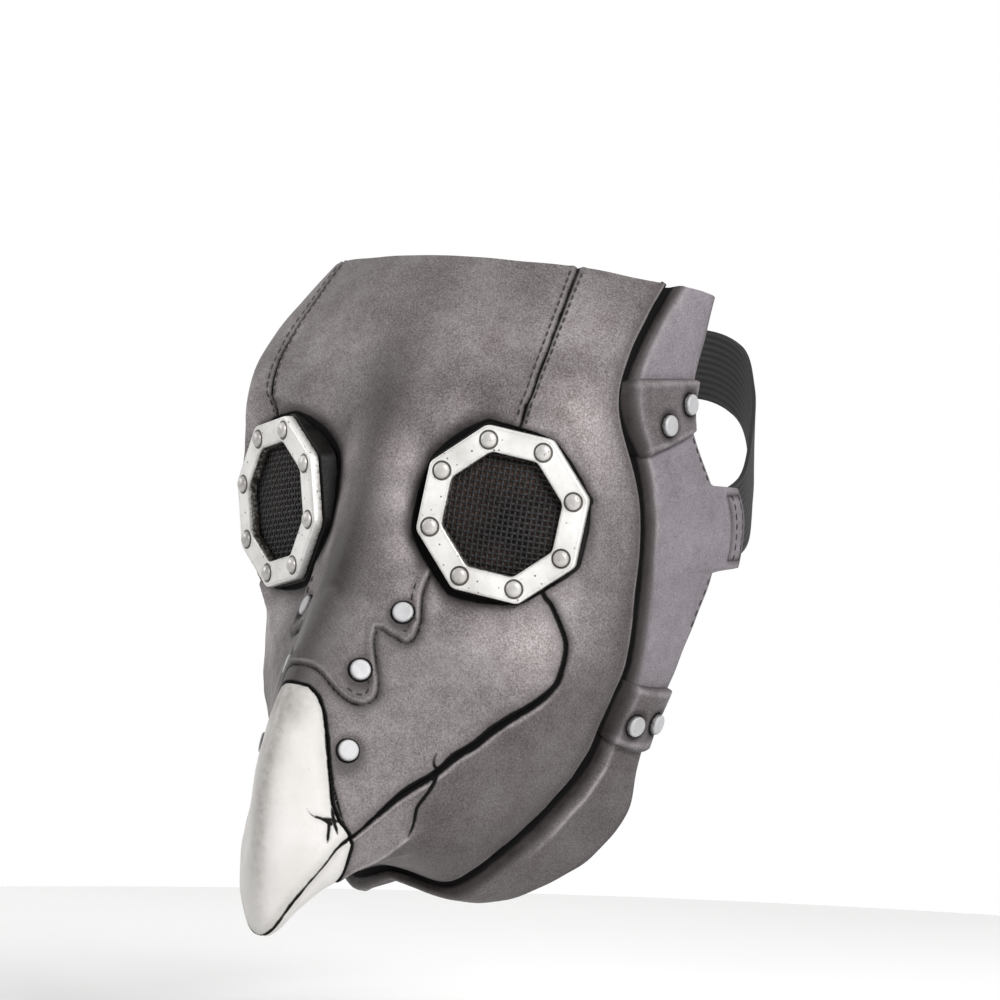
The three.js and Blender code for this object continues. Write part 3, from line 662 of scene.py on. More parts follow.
def dress_eye(coat):
    """Raised lip on the temple side of the eye, and a black halo on its nasal side: black paint that spreads
    into painted shadow beside the frame.
    """
    nasal = smoothstep(-coat.sideways / 30.0, -0.4, 0.7)
    lip = smoothstep(coat.outside, -1.0, 0.1) * fade(coat.outside, 0.5, 9.0)
    halo = 0.5 * (coat.outside + np.hypot(coat.sideways, coat.up) - EYE_RELIEF["halo_radius"])
    halo = np.where(coat.outside < 30.0, halo, 30.0)
    coat.add(
        relief=EYE_RELIEF["lip"] * (1.0 - nasal) * lip,
        ink=halo + 0.5 - 2.9 * nasal,
        wash=(0.5 + 0.5 * nasal) * fade(halo, 2.2 * nasal, 2.2 + 5.2 * nasal),
    )


def dress_bridge(coat):
    """Painted shade down the ridge of the nose."""
    bridge = bell(coat.points[:, 0], 10.5) * smoothstep(coat.up, -76.0, -64.0) * fade(coat.up, 35.0, 70.0)
    coat.add(wash=(0.86 - 0.34 * smoothstep(coat.up, -30.0, 20.0)) * bridge)


def dress_nose(coat):
    """Flap edge of the nose, which stands up over an inked crease and sinks away behind it, with painted
    shade on both sides and a painted highlight on the flap edge.
    """
    seam = -coat.near("nose")[0]
    step = NOSE["step"] * smoothstep(seam, -0.35, 1.1) * np.exp(-np.maximum(seam, 0.0) / NOSE["reach"])
    step *= fade(seam, 7.0, 15.0)
    step += NOSE["bead"] * bell(seam - 2.1, 1.2) - NOSE["crease"] * bell(seam + 0.7, 0.55)
    coat.add(
        relief=step * coat.clear_of_eye,
        ink=np.abs(seam + 0.55) - 0.3,
        wash=np.where(seam < 0.0, 0.8, 0.62) * fade(np.abs(seam), 0.2, 5.5),
        dry=0.8 * bell(seam - 0.8, 0.5) * coat.clear_of_eye,
    )


def dress_mouth(coat):
    """Sunk black groove of the mouth, between a raised upper side and a lowered jaw, with painted shade
    beside it and painted highlights on the jaw edge and the upper lip.
    """
    mouth, along = coat.near("mouth")
    mouth = -mouth
    width = np.interp(along, *zip(*MOUTH_WIDTH))
    share = -mouth / (2.0 * width)
    below = np.maximum(-mouth - 2.0 * width, 0.0)
    lower = smoothstep(share, 0.0, 1.0)
    level = MOUTH["lip"] * np.exp(-np.maximum(mouth, 0.0) / MOUTH["lip_reach"]) * (1.0 - lower)
    level -= MOUTH["lip"] * np.exp(-below / MOUTH["jaw_reach"]) * lower
    depth = MOUTH["depth"] + MOUTH["depth_for_width"] * width
    trench = smoothstep(share, -0.25, 0.25) * fade(share, 0.55, 1.15)
    jaw_edge_highlight = 0.95 * bell(below - 0.7, 0.55) * smoothstep(along, 0.2, 0.3)
    lip_highlight = 0.4 * bell(mouth - 2.2, 1.6) * fade(along, 0.2, 0.35)
    coat.add(
        relief=(level - depth * trench) * coat.clear_of_eye,
        ink=np.abs(mouth + 0.65 * width) - 1.4 * width - 0.35 * smoothstep(along, 0.70, 0.76),
        wash=0.6 * fade(np.where(mouth > 0.0, mouth * 1.1, 1.6 * below), 0.1, 5.0),
        dry=np.maximum(jaw_edge_highlight, lip_highlight),
    )


def dress_forehead(coat):
    """Creased seam up the forehead, with a low ridge on each side, painted shade along the crease and a
    painted highlight on each ridge.
    """
    line = np.abs(coat.near("forehead")[0])
    ridges = SEAM_RIDGE * bell(line - 1.9, 0.9) - SEAM_CREASE * bell(line, 0.65)
    coat.add(
        relief=ridges * smoothstep(coat.outside, -0.5, 1.5),
        ink=line - 0.5,
        wash=0.45 * fade(line, 0.3, 3.6),
        dry=0.35 * bell(line - 1.3, 0.4) * coat.clear_of_eye,
    )


def dress_thin_lines(coat):
    """Cracks and tears that run out at both ends, and one that widens to where it meets another. Painted
    shade runs along each.
    """
    for name, (thick, deep, _) in THIN_LINES.items():
        line, along = coat.near(name)
        line = np.abs(line)
        both_ends = np.sqrt(np.clip(4.0 * along * (1.0 - along), 0.0, 1.0))
        taper = along if name == "tip_crack" else both_ends
        coat.add(
            relief=-deep * taper * bell(line, 0.5),
            ink=line - thick * taper,
            wash=0.4 * taper * fade(line, 0.2, 2.4),
        )


def dress_jaw(coat):
    """Fold along the lower beak with a painted highlight, a lighter painted strip above it, and painted shade
    on the jaw and under the chin.
    """
    fold = coat.near("mandible")[0]
    strip = fade(coat.across, 0.42, 0.49) * smoothstep(coat.down, 0.775, 0.80) * fade(coat.down, 0.85, 0.858)
    jaw_start = np.interp(coat.across, [0.0, 0.78, 0.85, 1.0], [0.775, 0.755, 0.58, 0.55])
    jaw_fade = np.interp(coat.across, [0.78, 0.85], [0.03, 0.2])
    jaw = smoothstep((coat.down - jaw_start) / jaw_fade, 0.0, 1.0) * (1.0 - strip)
    chin = smoothstep(coat.down, 0.86, 0.875) * fade(coat.across, 0.36, 0.46)
    shade = np.maximum((0.34 + 0.12 * smoothstep(coat.up, -100.0, -122.0)) * jaw, 0.45 * chin)
    coat.add(
        relief=FOLD_HEIGHT * bell(fold, 0.9),
        wash=shade * coat.on_face,
        dry=np.maximum(0.9 * bell(fold, 0.7), 0.2 * strip * coat.on_face),
    )


def dress_beak_rivets(coat):
    """Dished seats of the beak rivets, with painted shadow falling a little below each rivet."""
    for centre, _ in BEAK_RIVET_PLACES.values():
        radius = distances(coat.points, centre)
        dish = bell(radius - RIVET_DISH["ring"], 1.8) - bell(radius - RIVET_DISH["radius"], 0.7)
        below_rivet = distances(coat.points, centre - RIVET_DISH["shadow_drop"] * EYE_UP)
        coat.add(
            relief=RIVET_DISH["height"] * dish,
            ink=radius - RIVET_DISH["radius"] + 0.1,
            wash=0.85 * fade(below_rivet, 3.6, 9.0),
        )


def dress_tip(coat):
    """Inked crease between latex and ivory with painted shade beside it, and soft painted shade down the
    ivory's ridge.
    """
    tip = tip_level(coat.points)
    ridge = bell(coat.points[:, 0], 3.6) * smoothstep(coat.up, -155.0, -95.0)
    beside = np.where(tip < 0.0, 0.5, 0.35) * fade(np.abs(tip), 0.2, 4.0)
    coat.add(
        relief=-TIP_CREASE * bell(tip, 0.7),
        ink=np.where(tip < 0.0, -tip - 0.95, tip - 0.28),
        wash=np.maximum(beside, np.where(tip > 0.0, 0.85 * ridge, 0.0)),
    )


def dress_band(coat):
    """Black groove behind the face with painted shade on both sides, and the band with its tint, a painted
    highlight along its ridge, and painted shade at its rim and towards the bottom.
    """
    on_face, up = coat.on_face, coat.up
    edge = np.abs(coat.near("edge")[0])
    length = band_length(coat.way)
    back = np.where(on_face, 0.0, coat.width * length / groove_scale(coat.way))
    from_rim = (1.0 - coat.width) * length
    jaw = smoothstep(coat.way, 0.78, 0.95) * fade(coat.way, 1.75, 2.0)
    low = smoothstep(-up, 50.0, 85.0)
    swell = BAND_SWELL * (bell(back - 6.4 - 1.5 * jaw, 1.5) - bell(from_rim, 0.7))
    face_edge_shade = 0.55 * fade(edge / (6.0 + 7.0 * smoothstep(-up, 0.0, 40.0)), 0.05, 1.0)
    groove_black_and_shade = 0.97 * fade(back, 3.4 + 0.8 * jaw, 9.6 + 0.4 * jaw)
    rim_shade = (0.45 + 0.25 * low) * fade(from_rim, 0.0, 2.2 + 4.0 * low)
    band_black_and_shade = np.maximum(np.maximum(groove_black_and_shade, 0.4 * low), rim_shade)
    ridge = 0.6 * bell(back - 8.0, 1.0) * (1.0 - jaw) * smoothstep(up, -30.0, 5.0)
    ridge += 0.95 * bell(back - CHIN_RIDGE_BACK - 0.6, 1.0) * jaw * smoothstep(up, -121.0, -104.0)
    coat.tint = np.where(on_face, 0.0, smoothstep(back, 4.0, 9.0) * (1.0 - low))
    coat.add(
        relief=np.where(on_face, -EDGE_CREASE * bell(edge, 0.8), swell),
        ink=np.where(on_face, edge - 0.4, back - 3.7 + 0.2 * jaw),
        wash=np.where(on_face, face_edge_shade, band_black_and_shade),
        dry=np.where(on_face, 0.5 * bell(edge - 0.9, 0.4), ridge),
    )


def dress_ear_patch(coat):
    """Creased outline of the patch that holds the strap, with painted shade along it."""
    patch = np.abs(coat.near("ear_patch")[0])
    coat.add(relief=-PATCH_CREASE * bell(patch, 0.55), ink=patch - 0.3, wash=0.5 * fade(patch, 0.2, 2.0))


# Painted highlights: the pale share marks latex painted lighter as if lit.
def dress_painted_light(coat):
    for centre, reach, strength in PAINTED_LIGHT_PLACES:
        light = strength * bell(distances(coat.points, centre), reach) * coat.on_face
        coat.pale = np.maximum(coat.pale, light)


DRESSES = [
    dress_eye, dress_bridge, dress_nose, dress_mouth, dress_forehead, dress_thin_lines, dress_jaw,
    dress_beak_rivets, dress_tip, dress_band, dress_ear_patch, dress_painted_light,
]

# Columns of the finished half sheet: outer point, inner point, paint, and the two levels that it is cut at.
OUTER = slice(0, 3)
INNER = slice(3, 6)
PAINTS = {"ink": 6, "wash": 7, "dry": 8, "tint": 9, "pale": 10}
EYE_LEVEL = 11
TIP_LEVEL = 12
EYE_CUT_ZONE = 15.0
HIGHLIGHT_OVER_SHADE = 0.85


def finished_half():
    columns, triangles = fine_half()
    points = half_points(columns)
    normals = vertex_normals(points, triangles)
    middle = np.abs(points[:, 0]) < NEAR_MIDDLE
    normals[middle, 0] = 0.0
    normals = unit(normals)
    coat = Coat(columns, points, normals)
    for dress in DRESSES:
        dress(coat)
    sunk = np.minimum(coat.relief + WALL - THIN_WALL, 0.0) - WALL
    outer = points + normals * coat.relief[:, None]
    inner = points + normals * sunk[:, None]
    outer[middle, 0] = 0.0
    inner[middle, 0] = 0.0
    height, _, octagon = eye_place(points)
    eye_level = np.where(np.abs(height) < EYE_CUT_ZONE, octagon - BEZEL_INNER * FLAT_SHARE, FAR)
    # Painted highlights thin the painted shade where both fall.
    wash = coat.wash * (1.0 - HIGHLIGHT_OVER_SHADE * coat.dry)
    values = [coat.ink, wash, coat.dry, coat.tint, coat.pale, eye_level, tip_level(points)]
    return np.concatenate([outer, inner, np.stack(values, 1)], axis=1), triangles


def sheet_parts(columns, triangles):
    """Closed solid of both halves of a sheet: material 0 on the outer side and the rim, 1 inside."""
    used, numbers = np.unique(triangles, return_inverse=True)
    columns, triangles = columns[used], numbers.reshape(triangles.shape)
    other = columns.copy()
    other[:, [OUTER.start, INNER.start]] *= -1.0
    shared = np.abs(columns[:, 0]) < NEAR_MIDDLE
    numbers = np.where(shared, np.arange(len(columns)), len(columns) + np.cumsum(~shared) - 1)
    columns = np.concatenate([columns, other[~shared]])
    triangles = np.concatenate([triangles, numbers[triangles][:, ::-1]])
    outer, inner, walls = walled(triangles, len(columns))
    points = np.concatenate([columns[:, OUTER], columns[:, INNER]])
    kinds = np.repeat([0, 0, 1], [len(outer), len(walls), len(inner)])
    paints = {name: np.tile(columns[:, column], 2) for name, column in PAINTS.items()}
    return points, np.concatenate([outer, walls, inner]).tolist(), kinds.tolist(), paints


# Pieces, and solids made of rings of points.
def make_piece(name, parts, materials, nodes, crease=PLAIN_CREASE):
    points, faces, kinds, paints = parts
    mesh = bpy.data.meshes.new(name)
    mesh.from_pydata((points * MM).tolist(), [], faces)
    for material in materials:
        mesh.materials.append(material)
    mesh.polygons.foreach_set("material_index", np.asarray(kinds, np.int32))
    for paint, values in paints.items():
        attribute = mesh.attributes.new(paint, "FLOAT", "POINT")
        attribute.data.foreach_set("value", np.asarray(values, np.float32))
    mesh.polygons.foreach_set("use_smooth", np.ones(len(mesh.polygons), bool))
    mesh.update()
    mesh.set_sharp_from_angle(angle=math.radians(crease))
    piece = bpy.data.objects.new(name, mesh)
    bpy.context.scene.collection.objects.link(piece)
    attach(piece, "root")
    if nodes:
        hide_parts(*nodes)
    return piece


def make_pair(name, parts, materials, node=None, crease=PLAIN_CREASE):
    """Left piece as built, and the right one as its mirror image."""
    points, faces, kinds, paints = parts
    mirrored = (points * MIRROR, flipped(faces), kinds, paints)
    for side, side_parts in (("left", parts), ("right", mirrored)):
        nodes = [f"{node}_{side}"] if node else []
        make_piece(f"{name}_{side}", side_parts, materials, nodes, crease)


def thin_out(piece, kind, share):
    """Keep a share of the faces, taking them only from among points that no other material uses."""
    mesh = piece.data
    others = {corner for face in mesh.polygons if face.material_index != kind for corner in face.vertices}
    group = piece.vertex_groups.new(name="thinned")
    group.add([number for number in range(len(mesh.vertices)) if number not in others], 1.0, "REPLACE")
    fewer = piece.modifiers.new("fewer_faces", "DECIMATE")
    fewer.ratio = share
    fewer.vertex_group = group.name
    graph = bpy.context.evaluated_depsgraph_get()
    piece.data = bpy.data.meshes.new_from_object(piece.evaluated_get(graph))
    piece.modifiers.clear()
    piece.vertex_groups.clear()
    bpy.data.meshes.remove(mesh)
    piece.data.name = piece.name


def joined(parts):
    """Points and faces of several parts as one, with the number of the material for each face."""
    points, faces, kinds = [], [], []
    start = 0
    for part_points, part_faces, kind in parts:
        points.append(part_points)
        faces += [[start + corner for corner in face] for face in part_faces]
        kinds += [kind] * len(part_faces)
        start += len(part_points)
    return np.concatenate(points), faces, kinds


def flipped(faces):
    return [face[::-1] for face in faces]


def ring_faces(rings, sides):
    """Faces of a tube that closes on itself, ring after ring."""
    faces = []
    for start in range(rings):
        following = (start + 1) % rings
        for side in range(sides):
            after = (side + 1) % sides
            near = [start * sides + side, start * sides + after]
            faces.append(near + [following * sides + after, following * sides + side])
    return faces


def capped_faces(rings, sides):
    """Faces of a tube with a flat cap on its first and last ring."""
    faces = ring_faces(rings, sides)[:(rings - 1) * sides]
    first = list(range(sides))
    return faces + [first[::-1], [(rings - 1) * sides + corner for corner in first]]


def circle_points(profile, sides):
    """Rings about Z for a profile of radius and height."""
    angles = np.arange(sides) * 2.0 * math.pi / sides
    round_points = np.stack([np.cos(angles), np.sin(angles)], 1)
    rings = [np.column_stack([round_points * radius, np.full(sides, height)]) for radius, height in profile]
    return np.concatenate(rings)


def eye_points(flat, heights):
    """Points of the left eye frame from their place in its plane and their height over it."""
    heights = np.broadcast_to(np.asarray(heights, float), len(flat))
    return EYE_CENTRE + flat[:, :1] * EYE_SIDE + flat[:, 1:2] * EYE_UP + heights[:, None] * EYE_OUT


def octagon_corners(radius):
    angles = EYE_TURN - EIGHTH * np.arange(8)
    return np.stack([np.sin(angles), np.cos(angles)], 1) * radius


def octagon_loop(radius, rounding, arc_steps=4, side_steps=8):
    """Octagon with rounded corners, with the same number of points for any radius."""
    corners = octagon_corners(radius)
    loop = []
    for corner, before, after in zip(corners, np.roll(corners, 1, axis=0), np.roll(corners, -1, axis=0)):
        start = corner + unit(before - corner) * rounding
        end = corner + unit(after - corner) * rounding
        for share in np.linspace(0.0, 1.0, arc_steps + 1):
            rest = 1.0 - share
            loop.append(start * rest ** 2 + corner * 2.0 * share * rest + end * share * share)
        following = after + unit(corner - after) * rounding
        shares = np.linspace(0.0, 1.0, side_steps + 1)[1:-1]
        loop += [end * (1.0 - share) + following * share for share in shares]
    return np.array(loop)


def octagon_ring(profile, rounding):
    """Closed ring with an octagonal plan from a closed profile of radius and height."""
    loops = [octagon_loop(radius, rounding) for radius, _ in profile]
    points = [eye_points(loop, height) for loop, (_, height) in zip(loops, profile)]
    return np.concatenate(points), ring_faces(len(profile), len(loops[0]))


# Procedural materials, with colours as linear red, green and blue.
class Paint:
    def __init__(self, name):
        self.material = bpy.data.materials.new(name)
        self.material.use_nodes = True
        self.tree = self.material.node_tree
        self.shader = self.tree.nodes["Principled BSDF"]
        self.place = self.tree.nodes.new("ShaderNodeTexCoord").outputs["Object"]

    def node(self, kind, inputs, **settings):
        made = self.tree.nodes.new(kind)
        for key, value in settings.items():
            setattr(made, key, value)
        for key, value in inputs.items():
            self.put(value, made.inputs[key])
        return made

    def put(self, value, socket):
        if isinstance(value, bpy.types.NodeSocket):
            self.tree.links.new(value, socket)
        else:
            socket.default_value = (*value, 1.0) if isinstance(value, tuple) else value

    def noise(self, scale, detail=3.0, roughness=0.55):
        inputs = {"Vector": self.place, "Scale": scale, "Detail": detail, "Roughness": roughness}
        return self.node("ShaderNodeTexNoise", inputs).outputs["Fac"]

    def attribute(self, name):
        return self.node("ShaderNodeAttribute", {}, attribute_name=name).outputs["Fac"]

    def math(self, operation, first, second, clamp=False):
        inputs = {0: first, 1: second}
        return self.node("ShaderNodeMath", inputs, operation=operation, use_clamp=clamp).outputs[0]

    def plus(self, first, second):
        return self.math("ADD", first, second)

    def minus(self, first, second):
        return self.math("SUBTRACT", first, second)

    def times(self, first, second, clamp=False):
        return self.math("MULTIPLY", first, second, clamp)

    def weighted(self, *pairs):
        """Sum of values times their weights."""
        total, *others = [self.times(value, weight) for value, weight in pairs]
        for part in others:
            total = self.plus(total, part)
        return total

    def span(self, value, low, high, to_low=0.0, to_high=1.0):
        inputs = {"Value": value, "From Min": low, "From Max": high, "To Min": to_low, "To Max": to_high}
        return self.node("ShaderNodeMapRange", inputs).outputs["Result"]

    def ramp(self, value, stops):
        made = self.node("ShaderNodeValToRGB", {"Fac": value})
        elements = made.color_ramp.elements
        while len(elements) < len(stops):
            elements.new(0.5)
        for element, (place, colour) in zip(elements, stops):
            element.position = place
            element.color = (*colour, 1.0)
        return made.outputs["Color"]

    def mix(self, share, first, second):
        return self.node("ShaderNodeMix", {0: share, 6: first, 7: second}, data_type="RGBA").outputs[2]

    def bump(self, height, distance, strength):
        inputs = {"Height": height, "Distance": distance, "Strength": strength}
        return self.node("ShaderNodeBump", inputs).outputs["Normal"]

    def ink_line(self, ragged, none_at, full_at):
        """Share of ink from the distance to the inked lines, with a ragged edge."""
        edge = self.times(self.minus(ragged, 0.5), 0.9)
        return self.span(self.plus(self.attribute("ink"), edge), none_at, full_at)

    def specks(self, scale, none_at, full_at, cloud_scale, cloud):
        """Small spots that come in clouds."""
        inputs = {"Vector": self.place, "Scale": scale}
        spots = self.node("ShaderNodeTexVoronoi", inputs).outputs["Distance"]
        return self.times(self.span(spots, none_at, full_at), self.span(self.noise(cloud_scale, 2.0), *cloud))

    def inked_roughness(self, roughness, line):
        return self.math("MAXIMUM", roughness, self.times(line, 0.9))

    def finish(self, **inputs):
        for key, value in inputs.items():
            self.put(value, self.shader.inputs[key.replace("_", " ")])
        return self.material


# How much brighter the latex is painted under the painted highlights.
PAINTED_LIGHT_GAIN = 2.2


def painted_latex(name, low, mid, high, tint, highlight_colour):
    """Latex with black paint and painted shade in its creases and grooves, painted highlights brushed onto
    raised edges, painted light patches, and inked lines.
    """
    paint = Paint(name)
    cloud = paint.noise(38.0, 5.0)
    patch = paint.noise(190.0, 6.0, 0.65)
    grain = paint.noise(1600.0, 4.0, 0.7)
    tone = paint.weighted((cloud, 0.25), (patch, 0.15), (grain, 0.6))
    stops = [(0.40, low), (0.50, mid), (0.62, high)]
    # Painted highlights: a brighter copy of the latex ramp where the pale share is high.
    bright = [(place, tuple(PAINTED_LIGHT_GAIN * share for share in shade)) for place, shade in stops]
    colour = paint.mix(paint.attribute("pale"), paint.ramp(tone, stops), paint.ramp(tone, bright))
    band = paint.ramp(tone, [(0.38, tint[0]), (0.64, tint[1])])
    colour = paint.mix(paint.times(paint.attribute("tint"), 0.85), colour, band)
    # Painted highlights on raised edges, broken up by noise.
    highlight_breakup = paint.span(paint.plus(patch, paint.times(grain, 0.5)), 0.6, 0.95)
    dry = paint.times(paint.attribute("dry"), paint.span(highlight_breakup, 0.0, 1.0, 0.35, 1.0), clamp=True)
    colour = paint.mix(dry, colour, highlight_colour)
    blur = paint.span(paint.plus(patch, grain), 0.7, 1.3, 0.78, 1.12)
    # Black paint and painted shade: near-black in creases, grooves and recesses and on sides turned from the
    # light.
    shade_black_colour = (0.017, 0.0138, 0.0132)
    colour = paint.mix(paint.times(paint.attribute("wash"), blur, clamp=True), colour, shade_black_colour)
    line = paint.ink_line(patch, 0.28, -0.22)
    colour = paint.mix(line, colour, (0.003, 0.0027, 0.0027))
    speck = paint.specks(330.0, 0.1, 0.04, 120.0, (0.52, 0.6))
    colour = paint.mix(paint.times(speck, 0.7), colour, (0.02, 0.017, 0.015))
    pits = paint.minus(paint.plus(grain, paint.times(patch, 1.2)), speck)
    rough = paint.inked_roughness(paint.span(patch, 0.3, 0.75, 0.52, 0.4), line)
    normal = paint.bump(pits, 0.00032, 0.5)
    return paint.finish(Base_Color=colour, Roughness=rough, Normal=normal, Specular_IOR_Level=0.12)


def inner_latex():
    paint = Paint("bare_latex_inside")
    grain = paint.noise(700.0, 3.0)
    tone = paint.weighted((paint.noise(50.0, 4.0), 0.7), (grain, 0.3))
    colour = paint.ramp(tone, [(0.35, (0.020, 0.018, 0.017)), (0.7, (0.045, 0.040, 0.037))])
    rough = paint.span(grain, 0.3, 0.7, 0.55, 0.7)
    return paint.finish(Base_Color=colour, Roughness=rough, Normal=paint.bump(tone, 0.0006, 0.5))


def bezel_black():
    paint = Paint("black_bezel")
    cloud = paint.noise(160.0, 4.0)
    grain = paint.noise(900.0, 2.0)
    colour = paint.ramp(cloud, [(0.35, (0.003, 0.0027, 0.0025)), (0.75, (0.010, 0.009, 0.0085))])
    normal = paint.bump(paint.plus(cloud, grain), 0.0003, 0.5)
    rough = paint.span(cloud, 0.3, 0.7, 0.45, 0.62)
    return paint.finish(Base_Color=colour, Roughness=rough, Normal=normal, Specular_IOR_Level=0.14)


def ivory():
    paint = Paint("ivory_tip")
    cloud = paint.noise(32.0, 4.0)
    grain = paint.noise(420.0, 4.0)
    stops = [(0.3, (0.465, 0.45, 0.43)), (0.55, (0.55, 0.535, 0.52)), (0.75, (0.60, 0.59, 0.575))]
    colour = paint.ramp(cloud, stops)
    colour = paint.mix(paint.span(grain, 0.55, 0.8, 0.0, 0.22), colour, (0.42, 0.40, 0.36))
    # Painted shade in grey down the ivory's ridge and beside its crease.
    wash = paint.times(paint.attribute("wash"), paint.span(grain, 0.3, 0.7, 0.6, 1.0), clamp=True)
    colour = paint.mix(wash, colour, (0.17, 0.155, 0.14))
    line = paint.ink_line(paint.noise(300.0, 4.0), 0.2, -0.2)
    colour = paint.mix(line, colour, (0.004, 0.0035, 0.003))
    speck = paint.specks(420.0, 0.1, 0.05, 150.0, (0.5, 0.62))
    colour = paint.mix(paint.times(speck, 0.75), colour, (0.16, 0.13, 0.10))
    normal = paint.bump(paint.minus(grain, speck), 0.0003, 0.4)
    rough = paint.inked_roughness(paint.span(cloud, 0.3, 0.7, 0.42, 0.55), line)
    return paint.finish(Base_Color=colour, Roughness=rough, Normal=normal, Specular_IOR_Level=0.22)


def silver(name, light, dull, roughness=(0.34, 0.5)):
    """Silver paint, darkened with painted shade on the walls, rolled sides and stud bases, and a little real
    rubbing.
    """
    paint = Paint(name)
    grain = paint.noise(800.0, 4.0, 0.65)
    colour = paint.ramp(paint.noise(70.0, 5.0), [(0.3, dull), (0.62, light)])
    colour = paint.mix(paint.span(grain, 0.58, 0.85, 0.0, 0.35), colour, (0.30, 0.285, 0.265))
    wear = paint.times(paint.attribute("wear"), paint.span(grain, 0.3, 0.62, 0.5, 1.1), clamp=True)
    colour = paint.mix(wear, colour, (0.028, 0.022, 0.017))
    speck = paint.specks(420.0, 0.18, 0.09, 170.0, (0.47, 0.56))
    colour = paint.mix(speck, colour, (0.05, 0.043, 0.037))
    normal = paint.bump(paint.minus(grain, speck), 0.00022, 0.4)
    rough = paint.span(grain, 0.3, 0.7, *roughness)
    return paint.finish(Base_Color=colour, Roughness=rough, Metallic=0.25, Normal=normal)


def net_fibre():
    paint = Paint("net_fibre")
    grain = paint.noise(1600.0, 3.0)
    tone = paint.weighted((grain, 0.5), (paint.noise(90.0, 3.0), 0.5))
    colour = paint.ramp(tone, [(0.35, (0.006, 0.0055, 0.0055)), (0.7, (0.022, 0.020, 0.021))])
    normal = paint.bump(grain, 0.0001, 0.6)
    return paint.finish(Base_Color=colour, Roughness=0.6, Normal=normal, Specular_IOR_Level=0.3)


# Dark backing behind the net: painted shade, near black with brownish patches.
def shade_backing():
    paint = Paint("shade_backing")
    stops = [(0.4, (0.003, 0.0026, 0.0025)), (0.62, (0.040, 0.022, 0.016))]
    colour = paint.ramp(paint.noise(45.0, 3.0), stops)
    normal = paint.bump(paint.noise(1200.0, 3.0), 0.0002, 0.7)
    return paint.finish(Base_Color=colour, Roughness=0.85, Normal=normal, Specular_IOR_Level=0.2)


def elastic():
    paint = Paint("black_elastic")
    # Painted shade: darker in the valleys between the ribs, lighter on their crests.
    weave = paint.weighted((paint.attribute("rib"), 0.6), (paint.noise(1500.0, 3.0), 0.4))
    colour = paint.ramp(weave, [(0.25, (0.006, 0.006, 0.0065)), (0.75, (0.030, 0.029, 0.030))])
    return paint.finish(Base_Color=colour, Roughness=0.82, Normal=paint.bump(weave, 0.0002, 0.6))


def thread():
    paint = Paint("cast_thread")
    grain = paint.noise(1100.0, 3.0)
    colour = paint.ramp(grain, [(0.35, (0.006, 0.0055, 0.005)), (0.75, (0.035, 0.031, 0.028))])
    return paint.finish(Base_Color=colour, Roughness=0.7, Normal=paint.bump(grain, 0.0001, 0.5))


LATEX = painted_latex(
    "painted_latex", (0.070, 0.0585, 0.0575), (0.126, 0.112, 0.1125), (0.205, 0.190, 0.192),
    ((0.116, 0.1025, 0.116), (0.250, 0.225, 0.250)), (0.34, 0.312, 0.316),
)
TAB_LATEX = painted_latex(
    "painted_tab", (0.056, 0.0475, 0.048), (0.096, 0.0845, 0.087), (0.156, 0.140, 0.146),
    ((0.10, 0.090, 0.095), (0.15, 0.136, 0.145)), (0.33, 0.302, 0.316),
)
INSIDE = inner_latex()
FRAME_SILVER = silver("silver_frame", (0.82, 0.81, 0.79), (0.60, 0.585, 0.56))
# Studs get a darker copy of the frame's silver: painted shade on the domes.
STUD_SILVER = silver("silver_stud", (0.52, 0.505, 0.485), (0.36, 0.345, 0.33))
# Dark rings round the studs: dark joint paint and painted shade at their feet.
RING_SILVER = silver("silver_ring", (0.20, 0.185, 0.17), (0.075, 0.068, 0.062))
RIVET_SILVER = silver("silver_rivet", (0.42, 0.42, 0.43), (0.33, 0.325, 0.33), (0.55, 0.68))

# Latex shell with its black bezels, and ivory tip, parted from one sheet.
half, half_triangles = finished_half()
half, half_triangles, _ = cut_at_zero(half, half_triangles, EYE_LEVEL)
shell_half = half.copy()
shell_half[:, TIP_LEVEL] += GAP
shell_columns, _, shell_triangles = cut_at_zero(shell_half, half_triangles, TIP_LEVEL)
tip_columns, tip_triangles, _ = cut_at_zero(half, half_triangles, TIP_LEVEL)
BEZEL_ROUNDING = 2.2


def bezel_ring():
    low = SEAT_TOP - BEZEL_DEPTH
    profile = [
        (BEZEL_OUTER, low), (BEZEL_OUTER, SEAT_TOP - 0.7), (BEZEL_OUTER - 0.15, SEAT_TOP - 0.2),
        (BEZEL_OUTER - 0.6, SEAT_TOP), (BEZEL_INNER + 0.3, SEAT_TOP), (BEZEL_INNER, SEAT_TOP - 0.3),
        (BEZEL_INNER, low),
    ]
    return octagon_ring(profile, BEZEL_ROUNDING)


def shell_parts():
    points, faces, kinds, paints = sheet_parts(shell_columns, shell_triangles)
    ring, cells = bezel_ring()
    triangles = [[a, b, c] for a, b, c, _ in cells] + [[a, c, d] for a, _, c, d in cells]
    bezels = [(ring, triangles, 2), (ring * MIRROR, flipped(triangles), 2)]
    points, faces, bezel_kinds = joined([(points, faces, 0)] + bezels)
    kinds = kinds + bezel_kinds[len(kinds):]
    unpainted = np.zeros(2 * len(ring))
    paints = {name: np.concatenate([values, unpainted]) for name, values in paints.items()}
    return points, faces, kinds, paints


shell_finishes = [LATEX, INSIDE, bezel_black()]
shell = make_piece("shell_painted", shell_parts(), shell_finishes, ["latex_shell"], SHEET_CREASE)
thin_out(shell, shell_finishes.index(INSIDE), SHELL_FACES_KEPT)
tip_parts = sheet_parts(tip_columns, tip_triangles)
make_piece("tip_ivory", tip_parts, [ivory(), INSIDE], ["beak_tip"], SHEET_CREASE)

